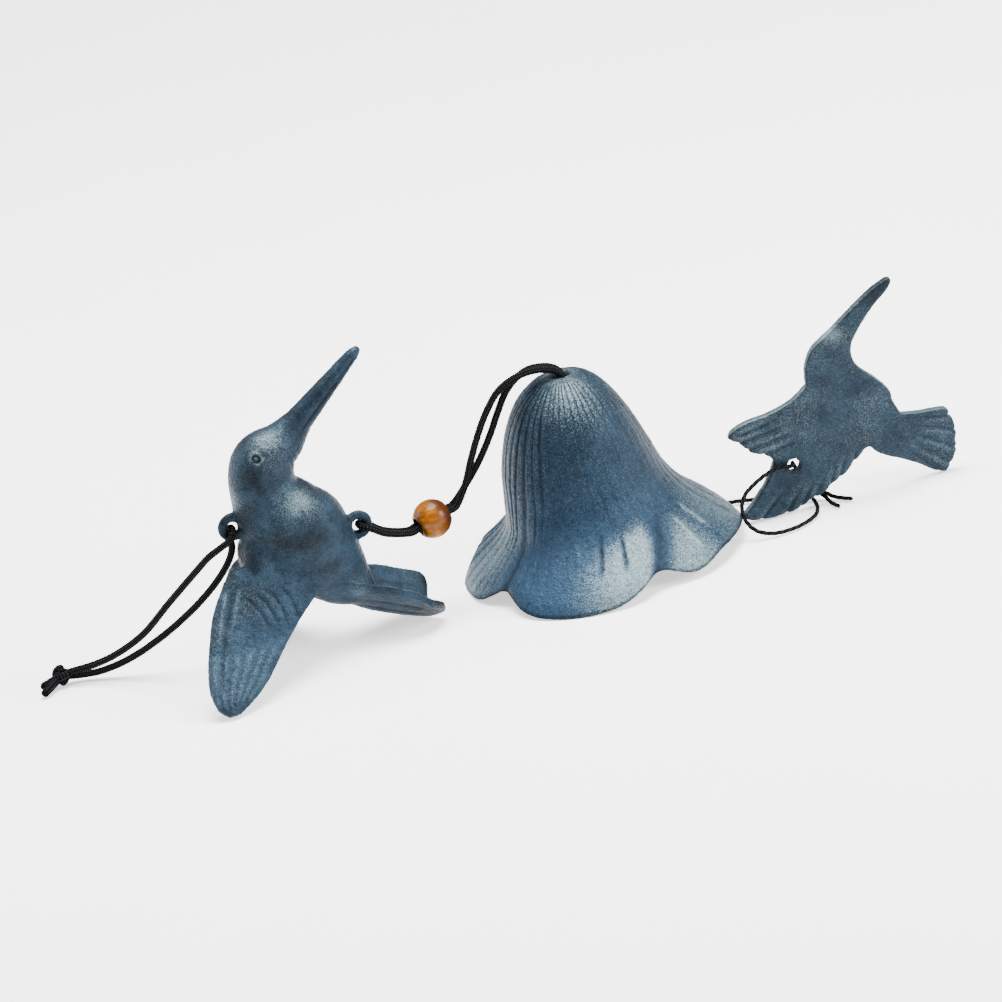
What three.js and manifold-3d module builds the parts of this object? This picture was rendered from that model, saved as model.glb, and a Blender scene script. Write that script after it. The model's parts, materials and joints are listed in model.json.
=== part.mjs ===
// Wind bell laid out on a table: a cast hummingbird on a hanger cord, a wooden bead on a doubled
// cord, a cast flower bell with a clapper inside, and a flat cast hummingbird that catches the wind.
// Millimetres, +Z up. Each layout place is measured from the bell's axis at table height.
import * as THREE from 'three';
import { mergeVertices } from 'three/addons/utils/BufferGeometryUtils.js';
import loadManifold from 'manifold-3d';

const wasm = await loadManifold();
wasm.setup();

// Clearances.
const TOUCH_GAP = 0.3;
const CORD_PLAY = 0.3;

// Flower bell.
const BELL_HEIGHT = 62.5;
const BELL_RIM_RADIUS = 45.5;
const BELL_WALL = 3.2;
const CROWN_HOLE_RADIUS = 3.2;
const NOTCH_ANGLES = [24, 95, 157, 220, 296];
const NOTCH_WIDTH = 12;
const NOTCH_LIFT = 5.5;
const NOTCH_DEPTH = 4.5;
const FLARE_TOP = 24;
const BELL_SIDES = 60;
// Petals that differ from a round rim: the angle and spread of each, how far it reaches out or tucks
// in, and how far it curls up.
const ODD_PETALS = [
  { angle: 338, spread: 36, reach: 1.3, curl: 5.2 },
  { angle: 255, spread: 32, reach: 2.6, curl: 0 },
  { angle: 184, spread: 40, reach: -2, curl: 0 },
];
// Places where the flank leaves the round dome: the angle and spread of each, how far it stands out,
// and its height and half height.
const FLANKS = [
  { angle: 184, spread: 55, out: -4.8, height: 13, tall: 9 },
  { angle: 180, spread: 65, out: 2.2, height: 41, tall: 17 },
  { angle: 0, spread: 65, out: -1.5, height: 54, tall: 13 },
  { angle: 350, spread: 45, out: 1, height: 23, tall: 9 },
];
const FLANK_RADIUS = 15;

// Cords.
const CORD_RADIUS = 1.2;
const LINE_RADIUS = 0.7;
const CORD_SIDES = 8;

// Eyes of the hummingbird that the cords run through.
const EYE_RADIUS = 3.1;
const EYE_WIRE_RADIUS = 1.3;
const EYE_TURN_RADIUS = EYE_WIRE_RADIUS + CORD_RADIUS + CORD_PLAY;
const EYE_ROOT = { thick: 2.8, tall: 6 };

// Large hummingbird: its place on the table and its wings.
const BIRD_PLACE = new THREE.Vector3(-122, -36, 0);
const BIRD_YAW = 13;
const BACK_EYE = { x: 12.6, z: 48.5, leaving: 236 };
const BELLY_EYE = { x: 51.8, z: 37.1, leaving: -22 };
const WING_ROOT_Y = 8;
const WING_TIP_Y = 32;
const WING_ROOT_Z = 33;
const WING_THICKNESS = 3.6;
const FAR_WING_SWEEP = 20;
const FAR_WING_SHIFT = 8;
const TAIL_THICKNESS = 3;

// Bead.
const BEAD_RADIUS = 6.2;
const BEAD_BORE_RADIUS = 2.9;
const BEAD_PLACE = new THREE.Vector3(-48.5, -16.5, 30.7);
const BEAD_AXIS = new THREE.Vector3(0.92, 0.33, 0.2).normalize();

// Inside the bell.
const CROWN_KNOT_RADIUS = 4.8;
const CROWN_KNOT_HEIGHT = 7;
const CLAPPER_RADIUS = 17;
const CLAPPER_THICKNESS = 3.4;
const CLAPPER_HEIGHT = 19.5;
const CLAPPER_HOLE_RADIUS = 1.2;
const STOP_KNOT_RADIUS = 2.2;
const STOP_KNOT_HEIGHT = 3.6;

// Flat hummingbird.
const PLATE_PLACE = new THREE.Vector3(58, 2, 0);
const PLATE_YAW = 8;
const PLATE_THICKNESS = 3.4;
const PLATE_EDGE = 0.7;
const PLATE_HOLE = { x: 7.4, z: 15.6, radius: 2.2 };

// Knots on the cords.
const HANGER_KNOT_PLACE = new THREE.Vector3(-171.9, -12, 3.2);
const CATCHER_KNOT_PLACE = new THREE.Vector3(69, 8.4, 3);
const CATCHER_KNOT_RADIUS = 2.2;

const degrees = THREE.MathUtils.degToRad;

// Materials.
const iron = (color, roughness) => new THREE.MeshStandardMaterial({ color, roughness, metalness: 0.6 });
const cordBlack = () => new THREE.MeshStandardMaterial({ color: '#16171a', roughness: 0.75, metalness: 0 });
const beadWood = () => new THREE.MeshStandardMaterial({ color: '#9a5a22', roughness: 0.35, metalness: 0 });

// Keeps only the positions of a geometry, with shared vertices joined.
function joined(geometry) {
  const bare = geometry.clone();
  bare.deleteAttribute('normal');
  bare.deleteAttribute('uv');
  return mergeVertices(bare, 1e-4);
}

function solidOf(geometry) {
  const source = joined(geometry);
  const vertProperties = new Float32Array(source.attributes.position.array);
  const triVerts = new Uint32Array(source.index.array);
  return new wasm.Manifold(new wasm.Mesh({ numProp: 3, vertProperties, triVerts }));
}

function geometryOf(solid) {
  const mesh = solid.getMesh();
  const geometry = new THREE.BufferGeometry();
  geometry.setAttribute('position', new THREE.BufferAttribute(mesh.vertProperties, 3));
  geometry.setIndex(new THREE.BufferAttribute(mesh.triVerts, 1));
  geometry.computeVertexNormals();
  return geometry;
}

// Turns the triangles round where a closed surface encloses a negative volume.
function facingOut(geometry) {
  const position = geometry.attributes.position;
  const index = geometry.index;
  const [a, b, c] = [new THREE.Vector3(), new THREE.Vector3(), new THREE.Vector3()];
  let volume = 0;
  for (let i = 0; i < index.count; i += 3) {
    a.fromBufferAttribute(position, index.getX(i));
    b.fromBufferAttribute(position, index.getX(i + 1));
    c.fromBufferAttribute(position, index.getX(i + 2));
    volume += a.dot(b.cross(c));
  }
  if (volume < 0) {
    for (let i = 0; i < index.count; i += 3) {
      const second = index.getX(i + 1);
      index.setX(i + 1, index.getX(i + 2));
      index.setX(i + 2, second);
    }
  }
  geometry.computeVertexNormals();
  return geometry;
}

// Surface through rings of points. Open ends are closed by a fan; a looped loft joins its last ring
// to its first.
function loft(rings, looped = false) {
  const sides = rings[0].length;
  const points = rings.flat();
  const triangles = [];
  const last = looped ? rings.length : rings.length - 1;
  for (let row = 0; row < last; row += 1) {
    const here = row * sides;
    const next = ((row + 1) % rings.length) * sides;
    for (let side = 0; side < sides; side += 1) {
      const turn = (side + 1) % sides;
      triangles.push(here + side, next + side, next + turn);
      triangles.push(here + side, next + turn, here + turn);
    }
  }
  if (!looped) {
    for (const [row, flip] of [[0, false], [rings.length - 1, true]]) {
      const middle = points.length;
      const centre = new THREE.Vector3();
      rings[row].forEach((point) => centre.addScaledVector(point, 1 / sides));
      points.push(centre);
      for (let side = 0; side < sides; side += 1) {
        const first = row * sides + side;
        const second = row * sides + ((side + 1) % sides);
        triangles.push(middle, flip ? second : first, flip ? first : second);
      }
    }
  }
  const geometry = new THREE.BufferGeometry().setFromPoints(points);
  geometry.setIndex(triangles);
  return facingOut(geometry);
}

// Cord along hand-chosen points: the steps follow the points, so bends get more of them.
function cord(points, radius, stepsPerSpan = 2) {
  const route = new THREE.CatmullRomCurve3(points, false, 'centripetal');
  route.getUtoTmapping = (share) => share;
  const section = new THREE.Shape();
  for (let side = 0; side < CORD_SIDES; side += 1) {
    const angle = (2 * Math.PI * side) / CORD_SIDES;
    const corner = new THREE.Vector2(radius * Math.cos(angle), radius * Math.sin(angle));
    if (side === 0) section.moveTo(corner.x, corner.y);
    else section.lineTo(corner.x, corner.y);
  }
  const steps = (points.length - 1) * stepsPerSpan;
  return new THREE.ExtrudeGeometry(section, { steps, extrudePath: route, curveSegments: 1 });
}

// Round solid about Z from a profile of [radius, height] pairs.
function turned(profile, sides = 24) {
  const points = profile.map(([radius, height]) => new THREE.Vector2(radius, height));
  return facingOut(joined(new THREE.LatheGeometry(points, sides).rotateX(Math.PI / 2)));
}

function piece(name, geometry, material) {
  const mesh = new THREE.Mesh(geometry, material);
  mesh.name = name;
  return mesh;
}

const layout = new THREE.Group();

// A point of the large hummingbird's own frame, placed on the table.
const atBird = (x, y, z) => new THREE.Vector3(x, y, z)
  .applyAxisAngle(new THREE.Vector3(0, 0, 1), degrees(BIRD_YAW))
  .add(BIRD_PLACE);

// A point of the flat hummingbird's own frame, placed on the table.
const atPlate = (x, y, z) => new THREE.Vector3(x, y, z)
  .applyAxisAngle(new THREE.Vector3(0, 0, 1), degrees(PLATE_YAW))
  .add(PLATE_PLACE);

// Flower bell: a dome that flares into five petals, with a raised notch between each two.

const DOME_PROFILE = new THREE.SplineCurve([
  new THREE.Vector2(CROWN_HOLE_RADIUS, BELL_HEIGHT),
  new THREE.Vector2(0.2 * BELL_RIM_RADIUS, 0.977 * BELL_HEIGHT),
  new THREE.Vector2(0.335 * BELL_RIM_RADIUS, 0.888 * BELL_HEIGHT),
  new THREE.Vector2(0.43 * BELL_RIM_RADIUS, 0.752 * BELL_HEIGHT),
  new THREE.Vector2(0.505 * BELL_RIM_RADIUS, 0.568 * BELL_HEIGHT),
  new THREE.Vector2(0.56 * BELL_RIM_RADIUS, 0.416 * BELL_HEIGHT),
  new THREE.Vector2(0.67 * BELL_RIM_RADIUS, 0.288 * BELL_HEIGHT),
  new THREE.Vector2(0.83 * BELL_RIM_RADIUS, 0.17 * BELL_HEIGHT),
  new THREE.Vector2(0.95 * BELL_RIM_RADIUS, 0.072 * BELL_HEIGHT),
  new THREE.Vector2(BELL_RIM_RADIUS, 0),
]);

// How near an angle is to another one, from 0 far away to 1 at it.
function nearness(angle, middle, spread) {
  const apart = THREE.MathUtils.euclideanModulo(angle - middle + 180, 360) - 180;
  return Math.max(0, Math.exp(-((apart / spread) ** 2)) - 0.03);
}

function bellRing(radius, height) {
  const flare = THREE.MathUtils.clamp((FLARE_TOP - height) / FLARE_TOP, 0, 1) ** 1.5;
  const girth = Math.min(1, radius / FLANK_RADIUS);
  const ring = [];
  for (let side = 0; side < BELL_SIDES; side += 1) {
    const angle = (360 * side) / BELL_SIDES;
    let reach = radius;
    let lift = 0;
    for (const flank of FLANKS) {
      const share = girth * Math.exp(-(((height - flank.height) / flank.tall) ** 2));
      reach += flank.out * share * nearness(angle, flank.angle, flank.spread);
    }
    for (const notch of NOTCH_ANGLES) {
      const share = flare * nearness(angle, notch, NOTCH_WIDTH);
      reach -= NOTCH_DEPTH * share;
      lift += NOTCH_LIFT * share;
    }
    for (const petal of ODD_PETALS) {
      const share = flare * nearness(angle, petal.angle, petal.spread);
      reach += petal.reach * share;
      lift += petal.curl * share;
    }
    ring.push(new THREE.Vector3(
      reach * Math.cos(degrees(angle)),
      reach * Math.sin(degrees(angle)),
      height + lift,
    ));
  }
  return ring;
}

function bellGeometry() {
  const rings = [];
  for (const share of [0, 0.08, 0.16, 0.24, 0.32, 0.4, 0.5, 0.6, 0.68, 0.76, 0.84, 0.92, 1]) {
    const point = DOME_PROFILE.getPoint(share);
    rings.push(bellRing(point.x, point.y));
  }
  for (const share of [1, 0.9, 0.8, 0.7, 0.6, 0.48, 0.36, 0.24, 0.12, 0]) {
    const point = DOME_PROFILE.getPoint(share);
    const along = DOME_PROFILE.getTangent(share);
    const radius = point.x + BELL_WALL * along.y;
    const height = point.y - BELL_WALL * along.x;
    rings.push(bellRing(Math.max(radius, CROWN_HOLE_RADIUS), Math.max(height, 0)));
  }
  return loft(rings, true);
}

layout.add(piece('flower_bell', bellGeometry(), iron('#5d6a74', 0.62)));

// Large hummingbird: one casting, lofted along its spine from the beak to the tail root.

// Spine points: [x, z, half width in the bird's plane, half width across it].
const BIRD_SPINE = [
  [63.9, 94, 1, 1],
  [62, 92.4, 2, 1.9],
  [51.2, 83.7, 3.2, 2.9],
  [41.7, 76, 4.3, 3.8],
  [34.4, 70.6, 7.2, 6.6],
  [26.2, 66.4, 9.8, 9],
  [24.8, 58, 10.7, 8.8],
  [27.8, 48.9, 13.8, 11.2],
  [32.8, 39.6, 16.2, 12],
  [39.2, 28.8, 13, 9.8],
  [45, 20.2, 9, 6.8],
  [51, 13.6, 3.4, 4],
];
const SPINE_ROWS = 26;
const SPINE_SIDES = 18;

function bodyGeometry() {
  const spine = new THREE.CatmullRomCurve3(BIRD_SPINE.map(([x, z]) => new THREE.Vector3(x, 0, z)));
  const widths = new THREE.CatmullRomCurve3(BIRD_SPINE.map(([, , inPlane, across]) => (
    new THREE.Vector3(inPlane, across, 0))));
  const rings = [];
  for (let row = 0; row <= SPINE_ROWS; row += 1) {
    const share = row / SPINE_ROWS;
    const centre = spine.getPoint(share);
    const along = spine.getTangent(share);
    const width = widths.getPoint(share);
    const side = new THREE.Vector3(along.z, 0, -along.x);
    const ring = [];
    for (let turn = 0; turn < SPINE_SIDES; turn += 1) {
      const angle = (2 * Math.PI * turn) / SPINE_SIDES;
      const point = centre.clone().addScaledVector(side, width.x * Math.cos(angle));
      point.y += width.y * Math.sin(angle);
      ring.push(point);
    }
    rings.push(ring);
  }
  return loft(rings);
}

// Wing rows from root to tip: [share of the span, x of the leading edge, x of the trailing edge].
const WING_ROWS = [
  [-0.12, 7.5, 39],
  [0, 2.8, 38],
  [0.2, -2.4, 33.8],
  [0.4, -6.2, 24.6],
  [0.6, -9.4, 16],
  [0.8, -11.3, 8.3],
  [0.92, -10.6, 1.8],
  [1, -8, -3.8],
];

// A lens section from the leading to the trailing edge, thickest near the leading edge.
const WING_SECTION = [[0, 0], [0.08, 0.8], [0.3, 1], [0.65, 0.75], [1, 0.2]];

function wingGeometry(across, shift, sweep) {
  const rings = WING_ROWS.map(([span, lead, trail]) => {
    const y = WING_ROOT_Y + (WING_TIP_Y - WING_ROOT_Y) * span;
    const half = 0.5 * WING_THICKNESS * (1 - 0.25 * Math.max(span, 0));
    const z = 0.6 * half + (WING_ROOT_Z - 0.6 * half) * (1 - span);
    const offset = shift + sweep * Math.max(span, 0);
    const at = ([share, swell], face) => new THREE.Vector3(
      lead + offset + (trail - lead) * share,
      across * (y + face * swell * half * 0.8),
      z + face * swell * half * 0.6,
    );
    const upper = WING_SECTION.map((point) => at(point, 1));
    const lower = WING_SECTION.slice(1).reverse().map((point) => at(point, -1));
    return [...upper, ...lower];
  });
  return loft(rings);
}

// Tail fan rows: [x, height of the valley, half width, rise of the two lobes from the valley].
const TAIL_ROWS = [
  [37, 20.5, 5, 3],
  [47, 13, 9.4, 9.2],
  [56, 8.2, 12, 10.6],
  [64, 4.7, 13, 9.8],
  [69, 3, 13, 8],
];
const LOBE_REACH = 3.5;

function tailGeometry() {
  const rings = TAIL_ROWS.map(([x, valley, width, lobes], row) => {
    const reach = row === TAIL_ROWS.length - 1 ? LOBE_REACH : 0;
    const at = (share, face) => new THREE.Vector3(
      x + reach * Math.sin(Math.PI * Math.abs(share)),
      width * share,
      valley + lobes * Math.abs(share) ** 1.2 - (face < 0 ? TAIL_THICKNESS : 0),
    );
    const shares = [-1, -0.75, -0.4, 0, 0.4, 0.75, 1];
    return [...shares.map((share) => at(share, 1)), ...shares.reverse().map((share) => at(share, -1))];
  });
  return loft(rings);
}

function eyeGeometry({ x, z }) {
  const ring = new THREE.TorusGeometry(EYE_RADIUS, EYE_WIRE_RADIUS, 10, 24);
  return ring.rotateX(Math.PI / 2).translate(x, 0, z);
}

// The swelling that joins an eye to the body, on the side that the direction points to.
function eyeRootGeometry({ x, z }, direction) {
  const root = new THREE.SphereGeometry(1, 16, 10);
  root.scale(EYE_ROOT.thick, EYE_WIRE_RADIUS, EYE_ROOT.tall);
  return root.translate(x + direction * (EYE_RADIUS + EYE_ROOT.thick - EYE_WIRE_RADIUS), 0, z);
}

function hummingbirdGeometry() {
  const parts = [
    wingGeometry(-1, 0, 0),
    wingGeometry(1, FAR_WING_SHIFT, FAR_WING_SWEEP),
    tailGeometry(),
    eyeGeometry(BACK_EYE),
    eyeRootGeometry(BACK_EYE, 1),
    eyeGeometry(BELLY_EYE),
    eyeRootGeometry(BELLY_EYE, -1),
  ];
  let solid = solidOf(bodyGeometry());
  for (const part of parts) solid = solid.add(solidOf(part));
  return geometryOf(solid);
}

const hummingbird = piece('hummingbird', hummingbirdGeometry(), iron('#59666f', 0.6));
hummingbird.position.copy(BIRD_PLACE);
hummingbird.rotation.z = degrees(BIRD_YAW);
layout.add(hummingbird);

// Hanger: one cord doubled through the back eye, with both strands tied in a knot on the table.

// The turn of a cord round the wire of an eye, from its -Y side to its +Y side. The cord leaves in a
// direction that is measured in the bird's plane from +X.
function eyeTurn({ x, z, leaving }) {
  const way = { x: Math.cos(degrees(leaving)), z: Math.sin(degrees(leaving)) };
  return [-90, -60, -30, 0, 30, 60, 90].map((angle) => {
    const reach = EYE_RADIUS - EYE_TURN_RADIUS * Math.cos(degrees(angle));
    const across = EYE_TURN_RADIUS * Math.sin(degrees(angle));
    return atBird(x + reach * way.x, across, z + reach * way.z);
  });
}

const layoutPoint = ([x, y, z]) => new THREE.Vector3(x, y, z);

// Strands of the hanger, from the knot to the eye and back from the eye to the knot.
const HANGER_UPPER = [
  [-168.6, -13, 4.2],
  [-160.7, -15.6, 6],
  [-153.2, -18.6, 9.2],
  [-144, -23.2, 15.6],
  [-134.3, -28.2, 25.8],
  [-123.8, -34, 36.7],
  [-118.8, -37, 41.8],
  [-114.6, -38, 44.4],
].map(layoutPoint);
const HANGER_LOWER = [
  [-111, -30.6, 42],
  [-112.4, -29.8, 37.4],
  [-117.1, -28, 30.7],
  [-124, -26, 23.8],
  [-132.6, -23.2, 16.8],
  [-141, -20.2, 11],
  [-150.2, -16.8, 5.8],
  [-159.2, -13.6, 2.6],
  [-165, -11.8, 1.9],
  [-168.4, -11.2, 2],
].map(layoutPoint);

const hangerRoute = [...HANGER_UPPER, ...eyeTurn(BACK_EYE), ...HANGER_LOWER];
layout.add(piece('hanger_cord', cord(hangerRoute, CORD_RADIUS), cordBlack()));

// Tied knot: a rounded lump with the two cut ends of the cord beside each other.
function knotGeometry(size, place, ends, radius) {
  const lump = new THREE.SphereGeometry(1, 14, 10).scale(...size).translate(...place);
  let solid = solidOf(lump);
  for (const end of ends) {
    solid = solid.add(solidOf(cord([place, ...end].map(layoutPoint), radius, 1)));
  }
  return geometryOf(solid);
}

const HANGER_KNOT_SIZE = [3.2, 3.4, 2.9];
const HANGER_ENDS = [
  [[-175.4, -13, 2.2], [-179, -14.2, 1.3]],
  [[-174.8, -15.4, 2.2], [-178.6, -20.4, 1.3]],
];
layout.add(piece(
  'hanger_knot',
  knotGeometry(HANGER_KNOT_SIZE, HANGER_KNOT_PLACE.toArray(), HANGER_ENDS, CORD_RADIUS),
  cordBlack(),
));

// Suspension: one cord doubled through the belly eye, through the bead and down the bell's crown.

const CROWN = new THREE.Vector3(0, 0, BELL_HEIGHT);
const STRAND_OFFSET = CORD_RADIUS + 0.2;
const CROWN_KNOT_TOP = BELL_HEIGHT - BELL_WALL - TOUCH_GAP;

// Middle of the pair of strands between the bead and the crown, from the crown, and the offset of
// the front strand from it.
const CROWN_ARCH = [
  [0, 0, -2.8, 0, -1, 0],
  [0, 0, 0, 0, -1, 0],
  [-1.6, -0.1, 2.1, 0, -1, 0],
  [-5, -0.7, 3.6, 0, -1, 0],
  [-10, -2, 4.2, 0, -1, 0.1],
  [-15, -3.8, 3, -0.4, -0.9, 0.4],
  [-19.2, -5.4, 0.4, -0.8, -0.7, 0.6],
  [-23.2, -7.3, -4.4, -1.1, -0.5, 0.7],
  [-27.2, -9.2, -10.6, -1.2, -0.4, 0.7],
  [-31.6, -11.3, -17.6, -0.9, -0.6, 0.5],
  [-36.2, -12.7, -24.6, -0.2, -1, 0.2],
];

// Middle of the pair between the bead and the belly eye, from the bead, and the same offset.
const BEAD_LEAD = [
  [-12, -4.1, -0.4, 0.4, -1, 0],
  [-16, -5.5, 1.6, 0.5, -1.5, 0],
];

function suspensionStrand(side) {
  const strand = (from) => ([x, y, z, ...offset]) => new THREE.Vector3(x, y, z).add(from)
    .addScaledVector(new THREE.Vector3(...offset), side * STRAND_OFFSET);
  const beadOffset = new THREE.Vector3(BEAD_AXIS.y, -BEAD_AXIS.x, 0).setLength(STRAND_OFFSET);
  const inBead = [1.3, 0.95, 0, -0.95, -1.3].map((share) => BEAD_PLACE.clone()
    .addScaledVector(BEAD_AXIS, share * BEAD_RADIUS)
    .addScaledVector(beadOffset, side));
  return [...CROWN_ARCH.map(strand(CROWN)), ...inBead, ...BEAD_LEAD.map(strand(BEAD_PLACE))];
}

const suspensionRoute = [
  ...suspensionStrand(1),
  ...eyeTurn(BELLY_EYE),
  ...suspensionStrand(-1).reverse(),
];
layout.add(piece('suspension_cord', cord(suspensionRoute, CORD_RADIUS), cordBlack()));

// Bead: a turned ball with a bore for both strands.
function beadGeometry() {
  const shoulder = Math.sqrt(BEAD_RADIUS ** 2 - BEAD_BORE_RADIUS ** 2);
  const start = Math.atan2(shoulder, BEAD_BORE_RADIUS);
  const profile = [];
  for (let step = 0; step <= 10; step += 1) {
    const angle = start * (step / 5 - 1);
    profile.push([BEAD_RADIUS * Math.cos(angle), BEAD_RADIUS * Math.sin(angle)]);
  }
  profile.push(profile[0]);
  return turned(profile);
}

const bead = piece('wood_bead', beadGeometry(), beadWood());
bead.position.copy(BEAD_PLACE);
bead.quaternion.setFromUnitVectors(new THREE.Vector3(0, 0, 1), BEAD_AXIS);
layout.add(bead);

// Inside the bell: the knot under the crown, and the clapper on its thin cord.

const crownKnotProfile = [[0, 0], [0.7, 0.03], [1, 0.26], [0.88, 0.5], [1, 0.74], [0.7, 0.97], [0, 1]];
const crownKnot = piece(
  'crown_knot',
  turned(crownKnotProfile.map(([r, h]) => [r * CROWN_KNOT_RADIUS, h * CROWN_KNOT_HEIGHT]), 18),
  cordBlack(),
);
crownKnot.position.z = CROWN_KNOT_TOP - CROWN_KNOT_HEIGHT;
layout.add(crownKnot);

const CLAPPER_CORD_TOP = CROWN_KNOT_TOP - CROWN_KNOT_HEIGHT - TOUCH_GAP;
const STOP_KNOT_TOP = CLAPPER_HEIGHT - CLAPPER_THICKNESS / 2 - TOUCH_GAP;
const clapperCordRoute = [
  new THREE.Vector3(0, 0, CLAPPER_CORD_TOP),
  new THREE.Vector3(0, 0, STOP_KNOT_TOP + TOUCH_GAP),
];
layout.add(piece('clapper_cord', cord(clapperCordRoute, LINE_RADIUS, 1), cordBlack()));

const clapperHalf = CLAPPER_THICKNESS / 2;
const clapperProfile = [
  [CLAPPER_HOLE_RADIUS, -clapperHalf],
  [CLAPPER_RADIUS - 1, -clapperHalf],
  [CLAPPER_RADIUS, -clapperHalf + 1],
  [CLAPPER_RADIUS, clapperHalf - 1],
  [CLAPPER_RADIUS - 1, clapperHalf],
  [CLAPPER_HOLE_RADIUS, clapperHalf],
  [CLAPPER_HOLE_RADIUS, -clapperHalf],
];
const clapper = piece('clapper', turned(clapperProfile, 36), iron('#4d5860', 0.65));
clapper.position.z = CLAPPER_HEIGHT;
layout.add(clapper);

const stopKnotProfile = [[0, 0], [0.75, 0.06], [1, 0.5], [0.75, 0.94], [0, 1]];
const stopKnot = piece(
  'stop_knot',
  turned(stopKnotProfile.map(([r, h]) => [r * STOP_KNOT_RADIUS, h * STOP_KNOT_HEIGHT]), 16),
  cordBlack(),
);
stopKnot.position.z = STOP_KNOT_TOP - STOP_KNOT_HEIGHT;
layout.add(stopKnot);

// Catcher line: from under the clapper, along the table, out through a notch of the rim to the knot.

const LINE_TOP = STOP_KNOT_TOP - STOP_KNOT_HEIGHT - TOUCH_GAP;
const CATCHER_LINE = [
  [0, 0, LINE_TOP],
  [0.3, 0.1, LINE_TOP - 4],
  [3, 1.2, 3.4],
  [9, 4, 1.2],
  [20, 9.6, 1],
  [31, 15.4, 1],
  [41, 18.3, 1],
  [48, 17.6, 1],
  [56, 13.6, 1.3],
  [63, 9.8, 2.4],
  [66.5, 8.6, 2.9],
].map(layoutPoint);
layout.add(piece('catcher_line', cord(CATCHER_LINE, LINE_RADIUS), cordBlack()));

// Catcher loop: up behind the plate, forward through its hole, round the wing over the table, back
// under the plate to the knot. Points of the plate's frame near the hole, then points on the table.
const LOOP_AT_HOLE = [
  [10.6, 3.9, 5.9],
  [9.6, 3.4, 9],
  [8.5, 3.2, 12.6],
  [7.7, 2.2, 15],
  [7.3, 0, 15.7],
  [6.5, -2.2, 15.9],
  [4.5, -2.9, 16.4],
  [2, -3.1, 16.8],
].map(([x, y, z]) => atPlate(x, y, z));
const LOOP_ON_TABLE = [
  [56, -3.4, 16.4],
  [52, -5.6, 15],
  [48.6, -8.4, 13.4],
  [46.9, -10.6, 11],
  [46.6, -12.4, 8.4],
  [47.6, -13.8, 5.6],
  [50, -14.6, 3],
  [54.5, -14.8, 1.3],
  [60, -13.8, 0.9],
  [65, -11, 0.9],
  [68.6, -6.6, 0.9],
  [70, -1.4, 0.9],
  [69.9, 3, 0.9],
  [69.4, 5.6, 1.4],
].map(layoutPoint);
layout.add(piece('catcher_loop', cord([...LOOP_AT_HOLE, ...LOOP_ON_TABLE], LINE_RADIUS), cordBlack()));

const CATCHER_ENDS = [
  [[72.4, 6, 2.2], [74.6, 1, 0.9], [76.8, -3.4, 0.9]],
  [[72.8, 7.6, 2.4], [76, 4.6, 1.2], [81.4, 0.4, 0.9]],
];
const catcherKnotSize = [CATCHER_KNOT_RADIUS, CATCHER_KNOT_RADIUS, CATCHER_KNOT_RADIUS];
layout.add(piece(
  'catcher_knot',
  knotGeometry(catcherKnotSize, CATCHER_KNOT_PLACE.toArray(), CATCHER_ENDS, LINE_RADIUS),
  cordBlack(),
));

// Flat hummingbird: a plate with the bird's outline, standing on a wing and on its tail.

const outlinePoint = ([x, z]) => new THREE.Vector2(x, z);

function plateShape() {
  const shape = new THREE.Shape();
  const run = (...points) => shape.splineThru(points.map(outlinePoint));
  shape.moveTo(48.2, 68.4);
  run([42.4, 66], [34.5, 61.2], [27.3, 56.2], [20.2, 51.8], [16.9, 46], [16.2, 40.3]);
  run([10.5, 36.6], [3, 34.4], [-5, 33.5], [-9.8, 31.8], [-11.3, 29.8]);
  run([-7.6, 26.4], [-5, 23.2], [0, 20.6], [1.5, 18.7]);
  run([-1.6, 13.2], [-7.6, 6.6], [-10.8, 3.8], [-10.2, 1.6], [-7, 0.6], [-2, 0], [0.6, 0.4]);
  run([4, 0.4], [8, 1.4], [10, 2.7]);
  run([13.4, 3.3], [17, 4.9], [18.6, 6.3]);
  run([21.4, 7.4], [24.4, 9.4], [25.6, 10.9]);
  run([28.4, 12.6], [30.6, 14.6], [32.3, 14.8]);
  run([35.4, 11.3], [44, 6.6], [50, 2], [53.4, 0], [55.4, 1.1]);
  run([58, 4.6], [59.4, 8], [59, 9.6]);
  run([60.1, 12.6], [59.6, 17], [58.8, 18.4]);
  run([58.8, 20], [57, 21.3], [50, 21.9], [44, 23]);
  run([42.3, 28], [41.7, 32], [37.6, 37.6], [33.4, 42.4], [32.4, 47], [34, 51.6], [41, 59.4], [46.8, 64]);
  run([48.8, 66.2], [49.3, 67.6]);
  const hole = new THREE.Path();
  hole.absarc(PLATE_HOLE.x, PLATE_HOLE.z, PLATE_HOLE.radius, 0, 2 * Math.PI, true);
  shape.holes.push(hole);
  return shape;
}

function plateGeometry() {
  const geometry = new THREE.ExtrudeGeometry(plateShape(), {
    depth: PLATE_THICKNESS - 2 * PLATE_EDGE,
    bevelThickness: PLATE_EDGE,
    bevelSize: PLATE_EDGE,
    bevelOffset: -PLATE_EDGE,
    bevelSegments: 2,
    curveSegments: 3,
  });
  geometry.translate(0, 0, PLATE_EDGE - PLATE_THICKNESS / 2);
  return geometry.rotateX(Math.PI / 2);
}

const flatBird = piece('flat_hummingbird', plateGeometry(), iron('#66727b', 0.6));
flatBird.position.copy(PLATE_PLACE);
flatBird.rotation.z = degrees(PLATE_YAW);
layout.add(flatBird);

// The origin is under the middle of the cast pieces and the bead, on the table.
const RIGID_PIECES = ['hummingbird', 'wood_bead', 'flower_bell', 'clapper', 'flat_hummingbird'];
layout.updateMatrixWorld(true);
const outline = new THREE.Box3();
for (const name of RIGID_PIECES) outline.expandByObject(layout.getObjectByName(name), true);
const middle = outline.getCenter(new THREE.Vector3());
layout.position.set(-middle.x, -middle.y, -outline.min.z);

const windBell = new THREE.Group();
windBell.add(layout);

export default windBell;
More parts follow.
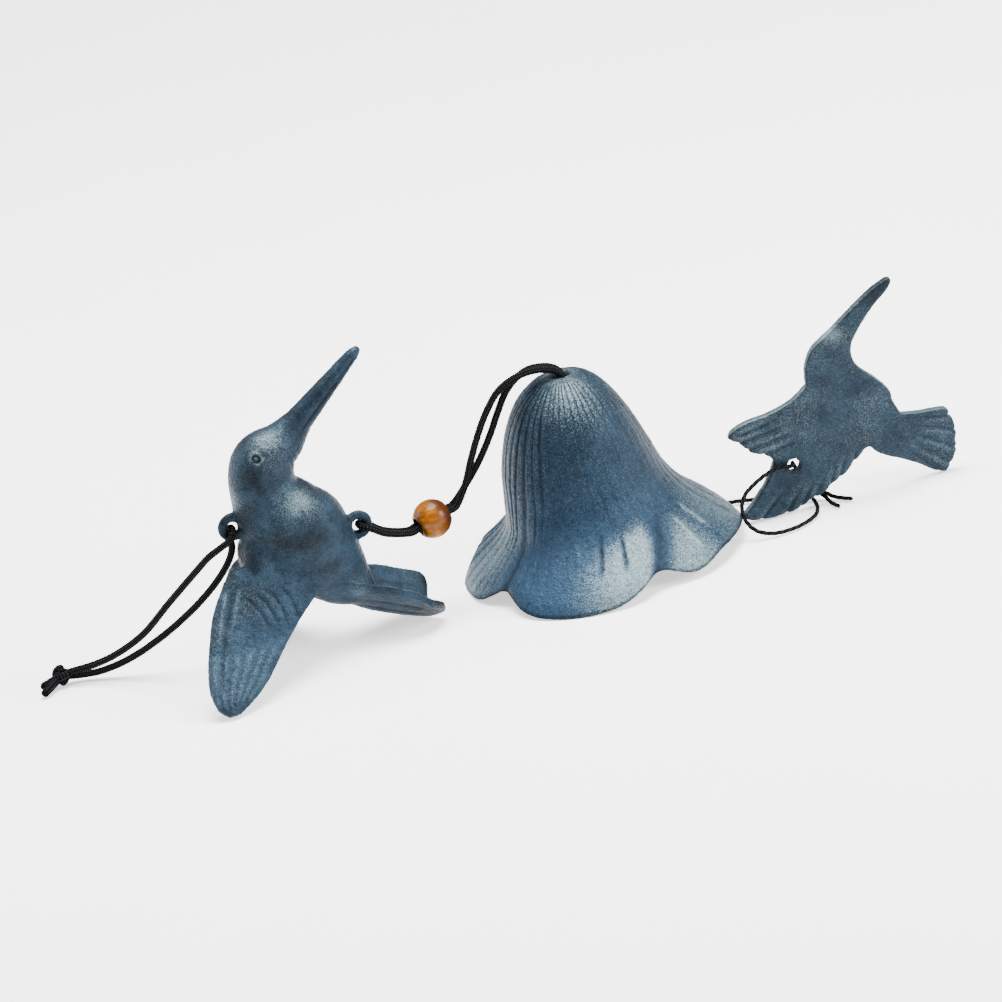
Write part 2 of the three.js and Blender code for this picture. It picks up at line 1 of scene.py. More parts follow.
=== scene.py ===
"""Looks of the wind bell: cast iron with a slate-blue patina, braided black cord and a wooden bead.

Shapes are worked out in millimetres from the bell's axis at table height, and become metres of the
shared frame when a mesh is made.
"""

import itertools
import json
import math
from collections import namedtuple
from functools import partial

import bpy
import numpy as np
from mathutils import Matrix, Vector


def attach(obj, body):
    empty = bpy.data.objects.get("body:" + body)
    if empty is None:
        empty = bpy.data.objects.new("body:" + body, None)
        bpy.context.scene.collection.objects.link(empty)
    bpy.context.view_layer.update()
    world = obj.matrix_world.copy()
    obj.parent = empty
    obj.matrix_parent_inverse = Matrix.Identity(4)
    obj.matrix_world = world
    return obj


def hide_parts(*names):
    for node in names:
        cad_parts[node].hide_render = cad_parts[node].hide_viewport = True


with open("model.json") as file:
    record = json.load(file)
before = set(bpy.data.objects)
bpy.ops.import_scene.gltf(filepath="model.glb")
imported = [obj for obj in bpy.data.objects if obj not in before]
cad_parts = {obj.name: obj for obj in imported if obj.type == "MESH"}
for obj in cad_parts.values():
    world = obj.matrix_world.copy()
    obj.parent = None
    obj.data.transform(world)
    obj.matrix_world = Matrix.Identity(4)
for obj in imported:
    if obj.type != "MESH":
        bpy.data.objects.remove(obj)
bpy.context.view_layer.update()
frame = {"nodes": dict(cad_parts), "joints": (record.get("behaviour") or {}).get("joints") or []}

MM = 0.001
joint_at = {joint["name"]: joint["pos_m"] for joint in frame["joints"]}
BELL_AXIS = np.array([joint_at["bell_swing"][0], joint_at["bell_swing"][1], 0.0])


def to_frame(points):
    """Layout millimetres as metres of the shared frame."""
    return np.asarray(points, float) * MM + BELL_AXIS


# Camera and light

CAMERA_ELEVATION = math.radians(22)
CAMERA_ROLL = math.radians(-12)
CAMERA_DISTANCE = 6.0
VIEW_WIDTH = 0.313
SENSOR_WIDTH = 36
VIEW_CENTRE = Vector(to_frame([-26.4, 0, 25]))

camera_data = bpy.data.cameras.new("camera")
camera_data.sensor_width = SENSOR_WIDTH
camera_data.lens = SENSOR_WIDTH * CAMERA_DISTANCE / VIEW_WIDTH
camera = bpy.data.objects.new("camera", camera_data)
bpy.context.scene.collection.objects.link(camera)
away = Vector((0, -math.cos(CAMERA_ELEVATION), math.sin(CAMERA_ELEVATION)))
look = (-away).to_track_quat("-Z", "Y").to_matrix().to_4x4()
camera.matrix_world = (
    Matrix.Translation(VIEW_CENTRE + CAMERA_DISTANCE * away)
    @ look
    @ Matrix.Rotation(CAMERA_ROLL, 4, "Z")
)
bpy.context.scene.camera = camera


def softbox(name, place, size, power):
    """A square area light at place that faces the middle of the object."""
    data = bpy.data.lights.new(name, "AREA")
    data.size = size
    data.energy = power
    light = bpy.data.objects.new(name, data)
    bpy.context.scene.collection.objects.link(light)
    light.location = place
    light.rotation_euler = (VIEW_CENTRE - Vector(place)).to_track_quat("-Z", "Y").to_euler()


softbox("top_softbox", (0.05, 0.1, 0.9), 0.6, 34)
softbox("right_softbox", (0.85, -0.35, 0.45), 0.45, 20)
softbox("left_softbox", (-0.9, 0.2, 0.4), 0.5, 10)

world = bpy.data.worlds.new("studio")
world.use_nodes = True
world.node_tree.nodes["Background"].inputs["Color"].default_value = (1, 1, 1, 1)
world.node_tree.nodes["Background"].inputs["Strength"].default_value = 0.25
bpy.context.scene.world = world


# Mesh helpers


def make_mesh(name, points, quads, triangles=()):
    """A mesh of quads and triangles from layout millimetres."""
    quads = np.asarray(quads, np.int32).reshape(-1, 4)
    triangles = np.asarray(triangles, np.int32).reshape(-1, 3)
    corners = np.concatenate([quads.ravel(), triangles.ravel()])
    starts = np.concatenate([
        4 * np.arange(len(quads)),
        quads.size + 3 * np.arange(len(triangles)),
    ])
    mesh = bpy.data.meshes.new(name)
    mesh.vertices.add(len(points))
    mesh.vertices.foreach_set("co", to_frame(points).astype(np.float32).ravel())
    mesh.loops.add(len(corners))
    mesh.loops.foreach_set("vertex_index", corners)
    mesh.polygons.add(len(starts))
    mesh.polygons.foreach_set("loop_start", starts.astype(np.int32))
    mesh.update(calc_edges=True)
    mesh.validate()
    return mesh


def points_of(mesh):
    """A mesh's points in layout millimetres."""
    found = np.zeros(3 * len(mesh.vertices), np.float32)
    mesh.vertices.foreach_get("co", found)
    return (found.reshape(-1, 3).astype(float) - BELL_AXIS) / MM


def normals_of(mesh):
    """A mesh's normals at its points."""
    found = np.zeros(3 * len(mesh.vertices), np.float32)
    mesh.vertex_normals.foreach_get("vector", found)
    return found.reshape(-1, 3).astype(float)


def move_points(mesh, points):
    """Moves a mesh's points to places in layout millimetres."""
    mesh.vertices.foreach_set("co", to_frame(points).astype(np.float32).ravel())
    mesh.update()


def add_values(mesh, **layers):
    """Numbers from 0 to 1 at each point, by the names that the material's nodes read."""
    for name, values in layers.items():
        attribute = mesh.attributes.new(name, "FLOAT", "POINT")
        attribute.data.foreach_set("value", np.clip(np.ravel(values), 0, 1).astype(np.float32))


def add_piece(name, mesh, body, slot, node):
    """Shows a mesh in a slot's material, as a piece that moves with a body and stands for a CAD node."""
    mesh.polygons.foreach_set("use_smooth", np.ones(len(mesh.polygons), bool))
    mesh.materials.clear()
    mesh.materials.append(MATERIALS[slot])
    piece = bpy.data.objects.new(name, mesh)
    bpy.context.scene.collection.objects.link(piece)
    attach(piece, body)
    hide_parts(node)
    return piece


def ring_quads(rows, sides, looped=False):
    """Quads between rings of points, and from the last ring to the first where it is looped."""
    row, side = np.meshgrid(np.arange(rows if looped else rows - 1), np.arange(sides), indexing="ij")
    here, next_row = row * sides, ((row + 1) % rows) * sides
    turn = (side + 1) % sides
    return np.stack([here + side, here + turn, next_row + turn, next_row + side], -1).reshape(-1, 4)


def end_fans(rows, sides):
    """Triangles that close both ends of a tube of rings, round two middle points after its own ones."""
    turn = np.arange(sides)
    last = (rows - 1) * sides
    head = np.stack([np.roll(turn, -1), turn, np.full(sides, rows * sides)], 1)
    tail = np.stack([last + turn, last + np.roll(turn, -1), np.full(sides, rows * sides + 1)], 1)
    return np.concatenate([head, tail])


def turn_from_up(way):
    """The rotation that takes +Z to a direction."""
    return np.array(Vector((0, 0, 1)).rotation_difference(Vector(way)).to_matrix())


def smooth_noise(points, cell, seed):
    """Noise from -1 to 1 that changes over about one cell, in millimetres."""
    scaled = np.asarray(points, float) / cell
    base = np.floor(scaled).astype(np.int64)
    part = scaled - base
    part = part * part * (3 - 2 * part)
    total = np.zeros(len(scaled))
    for corner in itertools.product((0, 1), repeat=3):
        at = base + corner
        code = at[:, 0] * 374761393 + at[:, 1] * 668265263 + at[:, 2] * 1442695041 + seed * 97531
        code = ((code ^ (code >> 13)) * 1274126177) & 0xFFFFFFFF
        value = ((code ^ (code >> 16)) & 0xFFFF) / 32767.5 - 1
        total += value * np.prod(np.where(corner, part, 1 - part), axis=1)
    return total


def rise(low, high, values):
    """0 below low, 1 above high and smooth between."""
    share = np.clip((values - low) / (high - low), 0, 1)
    return share * share * (3 - 2 * share)


def bump(values, middle, width):
    """1 at the middle, falling to 0 on both sides over a width."""
    return np.exp(-((values - middle) / width) ** 2)


# Materials


class Nodes:
    """Short calls to build a material's node tree."""

    def __init__(self, name):
        self.material = bpy.data.materials.new(name)
        self.material.use_nodes = True
        self.tree = self.material.node_tree
        self.shader = self.tree.nodes["Principled BSDF"]
        self.place = self.tree.nodes.new("ShaderNodeTexCoord").outputs["Object"]

    def link(self, source, target):
        self.tree.links.new(source, target)

    def noise(self, scale, detail=3.0, place=None):
        node = self.tree.nodes.new("ShaderNodeTexNoise")
        node.inputs["Scale"].default_value = scale
        node.inputs["Detail"].default_value = detail
        self.link(place or self.place, node.inputs["Vector"])
        return node.outputs["Fac"]

    def value(self, name):
        node = self.tree.nodes.new("ShaderNodeAttribute")
        node.attribute_name = name
        return node.outputs["Fac"]

    def remap(self, source, low, high, to_low=0.0, to_high=1.0):
        node = self.tree.nodes.new("ShaderNodeMapRange")
        node.interpolation_type = "SMOOTHSTEP"
        self.link(source, node.inputs["Value"])
        ranges = {"From Min": low, "From Max": high, "To Min": to_low, "To Max": to_high}
        for socket, number in ranges.items():
            node.inputs[socket].default_value = number
        return node.outputs["Result"]

    def math(self, operation, first, second):
        node = self.tree.nodes.new("ShaderNodeMath")
        node.operation = operation
        node.use_clamp = True
        for socket, source in zip(node.inputs, (first, second)):
            if isinstance(source, (int, float)):
                socket.default_value = source
            else:
                self.link(source, socket)
        return node.outputs["Value"]

    def mix(self, share, first, second):
        """A colour from first to second; each is a socket or an sRGB triple."""
        node = self.tree.nodes.new("ShaderNodeMix")
        node.data_type = "RGBA"
        self.link(share, node.inputs["Factor"])
        for socket, source in ((node.inputs[6], first), (node.inputs[7], second)):
            if isinstance(source, tuple):
                socket.default_value = linear(source)
            else:
                self.link(source, socket)
        return node.outputs[2]

    def bump(self, height, depth):
        node = self.tree.nodes.new("ShaderNodeBump")
        node.inputs["Distance"].default_value = depth
        self.link(height, node.inputs["Height"])
        self.link(node.outputs["Normal"], self.shader.inputs["Normal"])

    def surface(self, colour, constants, roughness=None):
        """Gives the shader its colour, its constants by name and, where it varies, its roughness."""
        self.link(colour, self.shader.inputs["Base Color"])
        for name, number in constants.items():
            self.shader.inputs[name].default_value = number
        if roughness is not None:
            self.link(roughness, self.shader.inputs["Roughness"])
        return self.material


def linear(colour):
    """An sRGB triple from 0 to 255 as a linear colour."""
    share = [c / 255 for c in colour]
    return (*[c / 12.92 if c <= 0.04045 else ((c + 0.055) / 1.055) ** 2.4 for c in share], 1)


# Noise scales of the iron's marks, per metre: clouds of tone, grains of dust and painted highlight, grains
# of soot and painted shade, cast sand.
CLOUDS, DUST_AND_HIGHLIGHT_GRAINS, SOOT_AND_SHADE_GRAINS, SAND = 140, 2600, 2900, 2400
# Dark pits of two sizes: noise scale, and how much the deepest darken.
PITS = ((3100, 0.6), (650, 0.4))
SAND_DEPTH, FIBRE_DEPTH, STREAK_DEPTH = 0.00022, 0.00006, 0.00004
# Colours: dust that also stands for painted highlights, pits, and soot that also stands for painted shade.
DUST_AND_HIGHLIGHT, PIT, SOOT_AND_SHADE = (134, 154, 158), (8, 12, 18), (11, 12, 14)
CORD_BLACK, LOOSE_FIBRE = (2, 2, 3), (36, 37, 40)
WOOD_BROWN, WOOD_GOLD, WOOD_CLOUD, WOOD_DARK = (106, 54, 3), (134, 82, 4), (58, 20, 4), (44, 16, 6)
WOOD_STREAKS, WOOD_CLOUDS = 700, 320
PAPER_DIM, PAPER_BRIGHT = (246, 246, 247), (250, 250, 250)


def iron_material(name, deep, blue, clear, speckle):
    """Cast iron under a satin blue patina, dusty where it stands proud and sooty in its hollows, with
    highlights and shade painted in the same colours.
    """
    n = Nodes(name)
    colour = n.mix(n.remap(n.noise(CLOUDS, 6), 0.3, 0.7), deep, blue)
    colour = n.mix(n.value("clear"), colour, clear)
    grain = n.remap(n.noise(DUST_AND_HIGHLIGHT_GRAINS, 3), 0.38, 0.64)
    # The pale value holds dust and painted highlights.
    smooth_dust_and_highlight = n.math("MULTIPLY", n.value("pale"), 1 - speckle)
    speckled = n.math("ADD", smooth_dust_and_highlight, n.math("MULTIPLY", grain, speckle))
    colour = n.mix(n.remap(speckled, 0.6 * speckle, 1, 0, 0.9), colour, DUST_AND_HIGHLIGHT)
    for scale, most in PITS:
        colour = n.mix(n.remap(n.noise(scale, 4), 0.5, 0.72, 0, most), colour, PIT)
    # The dark value holds soot and painted shade.
    specks = n.remap(n.noise(SOOT_AND_SHADE_GRAINS, 3), 0.36, 0.62, 0.38, 1)
    colour = n.mix(n.math("MULTIPLY", n.value("dark"), specks), colour, SOOT_AND_SHADE)
    n.bump(n.noise(SAND, 3), SAND_DEPTH)
    return n.surface(
        colour, {"Metallic": 0.45, "Specular IOR Level": 0.1}, n.remap(grain, 0, 1, 0.5, 0.38))


def cord_material(name, scale, crest):
    """Black cord with a painted highlight and a slight sheen on its raised strands."""
    n = Nodes(name)
    fibre = n.noise(scale, 2)
    # The crest colour on the raised strands is a painted highlight.
    colour = n.mix(n.remap(n.value("pale"), 0.7, 1), CORD_BLACK, crest)
    colour = n.mix(n.remap(fibre, 0.55, 0.8, 0, 0.3), colour, LOOSE_FIBRE)
    n.bump(fibre, FIBRE_DEPTH)
    return n.surface(colour, {"Specular IOR Level": 0.04}, n.remap(fibre, 0.3, 0.7, 0.6, 0.8))


def wood_material(name):
    """Lacquered wood with long streaks along the bead's bore."""
    n = Nodes(name)
    along = n.tree.nodes.new("ShaderNodeMapping")
    along.inputs["Scale"].default_value = (0.25, 1, 1)
    n.link(n.place, along.inputs["Vector"])
    streak = n.noise(WOOD_STREAKS, 6, along.outputs["Vector"])
    colour = n.mix(n.remap(streak, 0.3, 0.7), WOOD_BROWN, WOOD_GOLD)
    colour = n.mix(n.remap(n.noise(WOOD_CLOUDS, 5), 0.42, 0.66, 0, 0.6), colour, WOOD_CLOUD)
    colour = n.mix(n.value("dark"), colour, WOOD_DARK)
    n.bump(streak, STREAK_DEPTH)
    lacquer = {"Specular IOR Level": 0.1, "Coat Weight": 0.1, "Coat Roughness": 0.15}
    return n.surface(colour, lacquer, n.remap(streak, 0.3, 0.7, 0.42, 0.3))


def paper_material(name):
    """Pale paper with a glow of its own, for a bright floor."""
    n = Nodes(name)
    colour = n.mix(n.noise(30, 2), PAPER_DIM, PAPER_BRIGHT)
    return n.surface(colour, {
        "Roughness": 0.9, "Specular IOR Level": 0.2, "Emission Color": (1, 1, 1, 1), "Emission Strength": 1})


MATERIALS = {
    "bell_iron": iron_material("bell_patina", (17, 31, 43), (24, 40, 54), (38, 61, 83), 0.35),
    "bird_iron": iron_material("bird_patina", (22, 34, 45), (34, 51, 65), (42, 65, 84), 0.26),
    "plate_iron": iron_material("plate_patina", (21, 32, 42), (31, 45, 56), (38, 56, 70), 0.2),
    "clapper_iron": iron_material("clapper_patina", (22, 30, 38), (34, 44, 52), (40, 52, 62), 0.2),
    # Each cord's crest colour is a painted highlight on its raised strands.
    "thick_cord": cord_material("braided_cord", 2600, (54, 56, 59)),
    "thin_cord": cord_material("twisted_cord", 4200, (26, 27, 29)),
    "bead_wood": wood_material("lacquered_wood"),
}

FLOOR_REACH, FLOOR_LEVEL = 6000, -0.25
FLOOR_CORNERS = [
    [x * FLOOR_REACH, y * FLOOR_REACH, FLOOR_LEVEL] for x, y in ((-1, -1), (1, -1), (1, 1), (-1, 1))
]
floor_mesh = make_mesh("floor", FLOOR_CORNERS, [[0, 1, 2, 3]])
floor_mesh.materials.append(paper_material("pale_paper"))
floor = bpy.data.objects.new("floor", floor_mesh)
bpy.context.scene.collection.objects.link(floor)


# Cords

CORD_RADIUS = 1.2
LINE_RADIUS = 0.7
CORD_STEP = 0.2
# Share of a cord's radius at the lowest places between its strands.
PLY_FLOOR = 0.8


def spline(points, per_span):
    """A smooth curve through points, with the same number of steps in each span."""
    points = np.asarray(points, float)
    held = np.concatenate([[2 * points[0] - points[1]], points, [2 * points[-1] - points[-2]]])
    gaps = np.linalg.norm(np.diff(held, axis=0), axis=1) ** 0.5
    share = np.linspace(0, 1, per_span, endpoint=False)[:, None]
    found = []
    for i in range(1, len(held) - 2):
        a, b, c, d = held[i - 1:i + 3]
        before, here, after = gaps[i - 1:i + 2]
        leave = here * ((b - a) / before - (c - a) / (before + here) + (c - b) / here)
        arrive = here * ((c - b) / here - (d - b) / (here + after) + (d - c) / after)
        bend = -3 * b + 3 * c - 2 * leave - arrive
        twist = 2 * b - 2 * c + leave + arrive
        found.append(b + leave * share + bend * share ** 2 + twist * share ** 3)
    return np.concatenate(found + [points[-1:]])


def distance_along(line):
    """Distance from a line's start at each of its points."""
    return np.concatenate([[0], np.cumsum(np.linalg.norm(np.diff(line, axis=0), axis=1))])


def resampled(line, count):
    """A number of points at even distances along a line."""
    along = distance_along(line)
    at = np.linspace(0, along[-1], count)
    return np.stack([np.interp(at, along, line[:, k]) for k in range(3)], axis=1)


def route_through(points):
    """Points about a cord step apart on the smooth curve through the given ones."""
    line = spline(points, 40)
    return resampled(line, max(3, round(distance_along(line)[-1] / CORD_STEP) + 1))


def side_vectors(line):
    """Two directions across a line at each of its points, carried along it without twist."""
    ahead = np.gradient(line, axis=0)
    ahead /= np.linalg.norm(ahead, axis=1)[:, None]
    first = np.cross(ahead[0], [0.3, 0.2, 1])
    across = [first / np.linalg.norm(first)]
    for way in ahead[1:]:
        carried = across[-1] - (across[-1] @ way) * way
        across.append(carried / np.linalg.norm(carried))
    across = np.array(across)
    return across, np.cross(ahead, across)


def tube(name, line, radius, height, sides):
    """A tube along a line. height gives the surface's share of the radius at (angle, distance)."""
    across, up = side_vectors(line)
    angle = 2 * np.pi * np.arange(sides) / sides
    lift = height(angle[None, :], distance_along(line)[:, None])
    ring = np.cos(angle)[None, :, None] * across[:, None] + np.sin(angle)[None, :, None] * up[:, None]
    points = (line[:, None] + radius * lift[..., None] * ring).reshape(-1, 3)
    points = np.concatenate([points, line[[0, -1]]])
    mesh = make_mesh(name, points, ring_quads(len(line), sides), end_fans(len(line), sides))
    # The raised strands' share, which the cord's material paints with its highlight.
    shown = np.clip((lift.ravel() - PLY_FLOOR) / (1 - PLY_FLOOR), 0, 1)
    add_values(mesh, pale=np.concatenate([shown, np.zeros(2)]))
    return mesh


def braided(angle, distance):
    """Surface of a braid of eight plies that pass over and under each other."""
    plies, pitch = 4, 3.2
    one = plies * angle / (2 * np.pi) + distance * plies / (2 * pitch)
    two = plies * angle / (2 * np.pi) - distance * plies / (2 * pitch)
    over = 0.5 + 0.5 * np.sin(np.pi * (one - two)) * np.sin(np.pi * (one + two))
    ridge_one = np.abs(np.sin(np.pi * one)) ** 0.7
    ridge_two = np.abs(np.sin(np.pi * two)) ** 0.7
    return PLY_FLOOR + (1 - PLY_FLOOR) * np.maximum(ridge_one * over, ridge_two * (1 - over))


def twisted(angle, distance):
    """Surface of a line laid of three strands."""
    strands, pitch = 3, 2.6
    ridge = np.abs(np.sin(0.5 * strands * angle + np.pi * distance / pitch)) ** 0.7
    return PLY_FLOOR + (1 - PLY_FLOOR) * ridge


def cut_ends(height, length, radius):
    """The same surface with its last stretch rounded off, as where a cord is cut and melted."""
    def closed(angle, distance):
        left = np.clip((length - distance) / radius, 0, 1)
        return height(angle, distance) * np.sqrt(np.clip(1 - (1 - left) ** 2, 0.04, 1))
    return closed


# Each bird's place on the table, and how far it is turned.
BIRD_PLACE, BIRD_YAW = (-122, -36), math.radians(13)
PLATE_PLACE, PLATE_YAW = (58, 2), math.radians(8)


def placed(place, yaw, x, y, z):
    """A point of a bird's own frame, in layout millimetres."""
    return [
        place[0] + x * math.cos(yaw) - y * math.sin(yaw),
        place[1] + x * math.sin(yaw) + y * math.cos(yaw),
        z,
    ]


def own_frame(points, place, yaw):
    """Layout points in a bird's own frame."""
    x, y = points[:, 0] - place[0], points[:, 1] - place[1]
    return x * math.cos(yaw) + y * math.sin(yaw), y * math.cos(yaw) - x * math.sin(yaw), points[:, 2]


bird_point = partial(placed, BIRD_PLACE, BIRD_YAW)
plate_point = partial(placed, PLATE_PLACE, PLATE_YAW)

CORD_PLAY = 0.3
EYE_RADIUS, EYE_WIRE_RADIUS = 3.1, 1.3
EYE_TURN_RADIUS = EYE_WIRE_RADIUS + CORD_RADIUS + CORD_PLAY
# Each eye's place in the bird's plane, and the direction in which its cord leaves it.
BACK_EYE = (12.6, 48.5, 236)
BELLY_EYE = (51.8, 37.1, -22)


def eye_turn(eye, side):
    """The cord's turn round the wire of an eye, from its middle towards one side."""
    x, z, leaving = eye
    way = math.radians(leaving)
    turn = []
    for angle in (0, 30, 60, 90):
        reach = EYE_RADIUS - EYE_TURN_RADIUS * math.cos(math.radians(angle))
        across = side * EYE_TURN_RADIUS * math.sin(math.radians(angle))
        turn.append(bird_point(x + reach * math.cos(way), across, z + reach * math.sin(way)))
    return turn


TOWARDS_VIEWER, AWAY_FROM_VIEWER = -1, 1

HANGER_UPPER = [
    [-114.6, -38, 44.4], [-118.8, -37, 41.8], [-123.8, -34, 36.7], [-134.3, -28.2, 25.8],
    [-144, -23.2, 15.6], [-153.2, -18.6, 9.2], [-160.7, -15.6, 6], [-168.6, -13, 4.2], [-171.4, -12.3, 3.6],
]
HANGER_LOWER = [
    [-111, -30.6, 42], [-112.4, -29.8, 37.4], [-117.1, -28, 30.7], [-124, -26, 23.8], [-132.6, -23.2, 16.8],
    [-141, -20.2, 11], [-150.2, -16.8, 5.8], [-159.2, -13.6, 2.6], [-165, -11.8, 1.9], [-168.4, -11.2, 2],
    [-171.4, -11.7, 2.8],
]

BELL_HEIGHT = 62.5
# Distance of each strand of the doubled cord from the middle of the pair.
STRAND_OFFSET = CORD_RADIUS + 0.2
# Middle of the pair of strands from the crown, and the front strand's share of the offset from it.
CROWN_ARCH = [
    [0, 0, -2.8, 0, -1, 0], [0, 0, 0, 0, -1, 0], [-1.6, -0.1, 2.1, 0, -1, 0], [-5, -0.7, 3.6, 0, -1, 0],
    [-10, -2, 4.2, 0, -1, 0.1], [-15, -3.8, 3, -0.4, -0.9, 0.4], [-19.2, -5.4, 0.4, -0.8, -0.7, 0.6],
    [-23.2, -7.3, -4.4, -1.1, -0.5, 0.7], [-27.2, -9.2, -10.6, -1.2, -0.4, 0.7],
    [-31.6, -11.3, -17.6, -0.9, -0.6, 0.5], [-36.2, -12.7, -24.6, -0.2, -1, 0.2],
]
# The same from the bead to the belly eye.
BEAD_LEAD = [[-12, -4.1, -0.4, 0.4, -1, 0], [-16, -5.5, 1.6, 0.5, -1.5, 0]]
BEAD_RADIUS = 6.2
BEAD_PLACE = np.array([-48.5, -16.5, 30.7])
BEAD_AXIS = np.array([0.92, 0.33, 0.2]) / np.linalg.norm([0.92, 0.33, 0.2])


def suspension_strand(side):
    """One strand of the doubled cord, from the crown through the bead to the belly eye."""
    def strand(start, rows):
        return [np.add(start, row[:3]) + side * STRAND_OFFSET * np.array(row[3:]) for row in rows]
    offset = np.array([BEAD_AXIS[1], -BEAD_AXIS[0], 0])
    offset *= STRAND_OFFSET / np.linalg.norm(offset)
    in_bead = [BEAD_PLACE + share * BEAD_RADIUS * BEAD_AXIS + side * offset
               for share in (1.3, 0.95, 0, -0.95, -1.3)]
    return strand([0, 0, BELL_HEIGHT], CROWN_ARCH) + in_bead + strand(BEAD_PLACE, BEAD_LEAD)


CATCHER_LINE = [
    [0, 0, 13.6], [0.3, 0.1, 9.6], [3, 1.2, 3.4], [9, 4, 1.2], [20, 9.6, 1], [31, 15.4, 1], [41, 18.3, 1],
    [48, 17.6, 1], [56, 13.6, 1.3], [63, 9.8, 2.4], [66.5, 8.6, 2.9],
]
LOOP_AT_HOLE = [
    [10.6, 3.9, 5.9], [9.6, 3.4, 9], [8.5, 3.2, 12.6], [7.7, 2.2, 15], [7.3, 0, 15.7], [6.5, -2.2, 15.9],
    [4.5, -2.9, 16.4], [2, -3.1, 16.8],
]
LOOP_ON_TABLE = [
    [56, -3.4, 16.4], [52, -5.6, 15], [48.6, -8.4, 13.4], [46.9, -10.6, 11], [46.6, -12.4, 8.4],
    [47.6, -13.8, 5.6], [50, -14.6, 3], [54.5, -14.8, 1.3], [60, -13.8, 0.9], [65, -11, 0.9],
    [68.6, -6.6, 0.9], [70, -1.4, 0.9], [69.9, 3, 0.9], [69.4, 5.6, 1.4],
]
CLAPPER_CORD = [[0, 0, 51.7], [0, 0, 34], [0, 0, 17.8]]

Kind = namedtuple("Kind", "radius surface sides slot")
THICK = Kind(CORD_RADIUS, braided, 24, "thick_cord")
THIN = Kind(LINE_RADIUS, twisted, 14, "thin_cord")


def add_cord(name, points, kind, body, node):
    """A cord's tube as a piece."""
    line = route_through(points)
    mesh = tube(name, line, kind.radius, kind.surface, kind.sides)
    add_piece(name, mesh, body, kind.slot, node)


add_cord("hanger_front_strand", eye_turn(BACK_EYE, TOWARDS_VIEWER) + HANGER_UPPER,
         THICK, "hanger", "hanger_cord")
add_cord("hanger_back_strand", eye_turn(BACK_EYE, AWAY_FROM_VIEWER) + HANGER_LOWER,
         THICK, "hanger", "hanger_cord")
add_cord("suspension_front_strand", eye_turn(BELLY_EYE, TOWARDS_VIEWER) + suspension_strand(1)[::-1],
         THICK, "suspension", "suspension_cord")
add_cord("suspension_back_strand", eye_turn(BELLY_EYE, AWAY_FROM_VIEWER) + suspension_strand(-1)[::-1],
         THICK, "suspension", "suspension_cord")
add_cord("clapper_hanging_cord", CLAPPER_CORD, THIN, "clapper", "clapper_cord")
add_cord("catcher_long_line", CATCHER_LINE, THIN, "catcher_line", "catcher_line")
add_cord("catcher_wing_loop", [plate_point(*p) for p in LOOP_AT_HOLE] + LOOP_ON_TABLE,
         THIN, "catcher_line", "catcher_loop")


# Knots


def join_meshes(name, meshes):
    """Several meshes as one."""
    holders = []
    for mesh in meshes:
        holder = bpy.data.objects.new(name, mesh)
        bpy.context.scene.collection.objects.link(holder)
        holders.append(holder)
    with bpy.context.temp_override(
        active_object=holders[0], object=holders[0],
        selected_objects=holders, selected_editable_objects=holders,
    ):
        bpy.ops.object.join()
    mesh = holders[0].data
    bpy.data.objects.remove(holders[0])
    return mesh


Knot = namedtuple("Knot", "place size lean kind radius")
UPRIGHT = (0, 0, 1)
HANGER_KNOT = Knot([-171.9, -12, 3.2], (2.2, 2.2, 1.5), (0.8, 0.2, 0.6), THICK, CORD_RADIUS)
CATCHER_KNOT = Knot([69, 8.4, 3], (1.5, 1.5, 1.2), (0.6, -0.6, 0.5), THIN, LINE_RADIUS)
CROWN_KNOT = Knot([0, 0, 55.5], (3.4, 3.4, 1.9), UPRIGHT, THICK, 1.4)
STOP_KNOT = Knot([0, 0, 15.7], (1.4, 1.4, 1), UPRIGHT, THIN, 0.75)
# Points from a knot along each of its cut ends.
HANGER_ENDS = [[[-175.4, -13, 2.2], [-179, -14.2, 1.3]], [[-174.8, -15.4, 2.2], [-178.6, -20.4, 1.3]]]
CATCHER_ENDS = [
    [[72.4, 6, 2.2], [74.6, 1, 0.9], [76.8, -3.4, 0.9]],
    [[72.8, 7.6, 2.4], [76, 4.6, 1.2], [81.4, 0.4, 0.9]],
]
HANGER_END_RADIUS = 1.15 * CORD_RADIUS


def overhand(knot):
    """An overhand knot drawn tight, as a tube."""
    t = np.linspace(0, 2 * np.pi, 400)
    line = np.stack([np.sin(t) + 2 * np.sin(2 * t), np.cos(t) - 2 * np.cos(2 * t), -np.sin(3 * t)], 1)
    line *= np.array([knot.size[0] / 3, knot.size[1] / 3, knot.size[2]])
    line = line @ turn_from_up(knot.lean).T + knot.place
    line = resampled(line, round(distance_along(line)[-1] / CORD_STEP))
    return tube("knot", line, knot.radius, knot.kind.surface, knot.kind.sides)


def cut_end(knot, points, radius):
    """A short end of a knot's cord, rounded off where it is cut."""
    line = route_through([knot.place, *points])
    surface = cut_ends(knot.kind.surface, distance_along(line)[-1], radius)
    return tube("end", line, radius, surface, knot.kind.sides)


def add_knot(name, knot, body, node, ends=(), end_radius=None):
    """A knot and the cut ends of its cord as one piece."""
    mesh = overhand(knot)
    if ends:
        mesh = join_meshes(name, [mesh, *[cut_end(knot, end, end_radius) for end in ends]])
    return add_piece(name, mesh, body, knot.kind.slot, node)


hanger_knot = add_knot(
    "hanger_tied_knot", HANGER_KNOT, "hanger", "hanger_knot", HANGER_ENDS, HANGER_END_RADIUS)
catcher_knot = add_knot(
    "catcher_tied_knot", CATCHER_KNOT, "catcher_line", "catcher_knot", CATCHER_ENDS, LINE_RADIUS)
crown_knot = add_knot("crown_tied_knot", CROWN_KNOT, "bell", "crown_knot")
stop_knot = add_knot("stop_tied_knot", STOP_KNOT, "clapper", "stop_knot")


# Flower bell

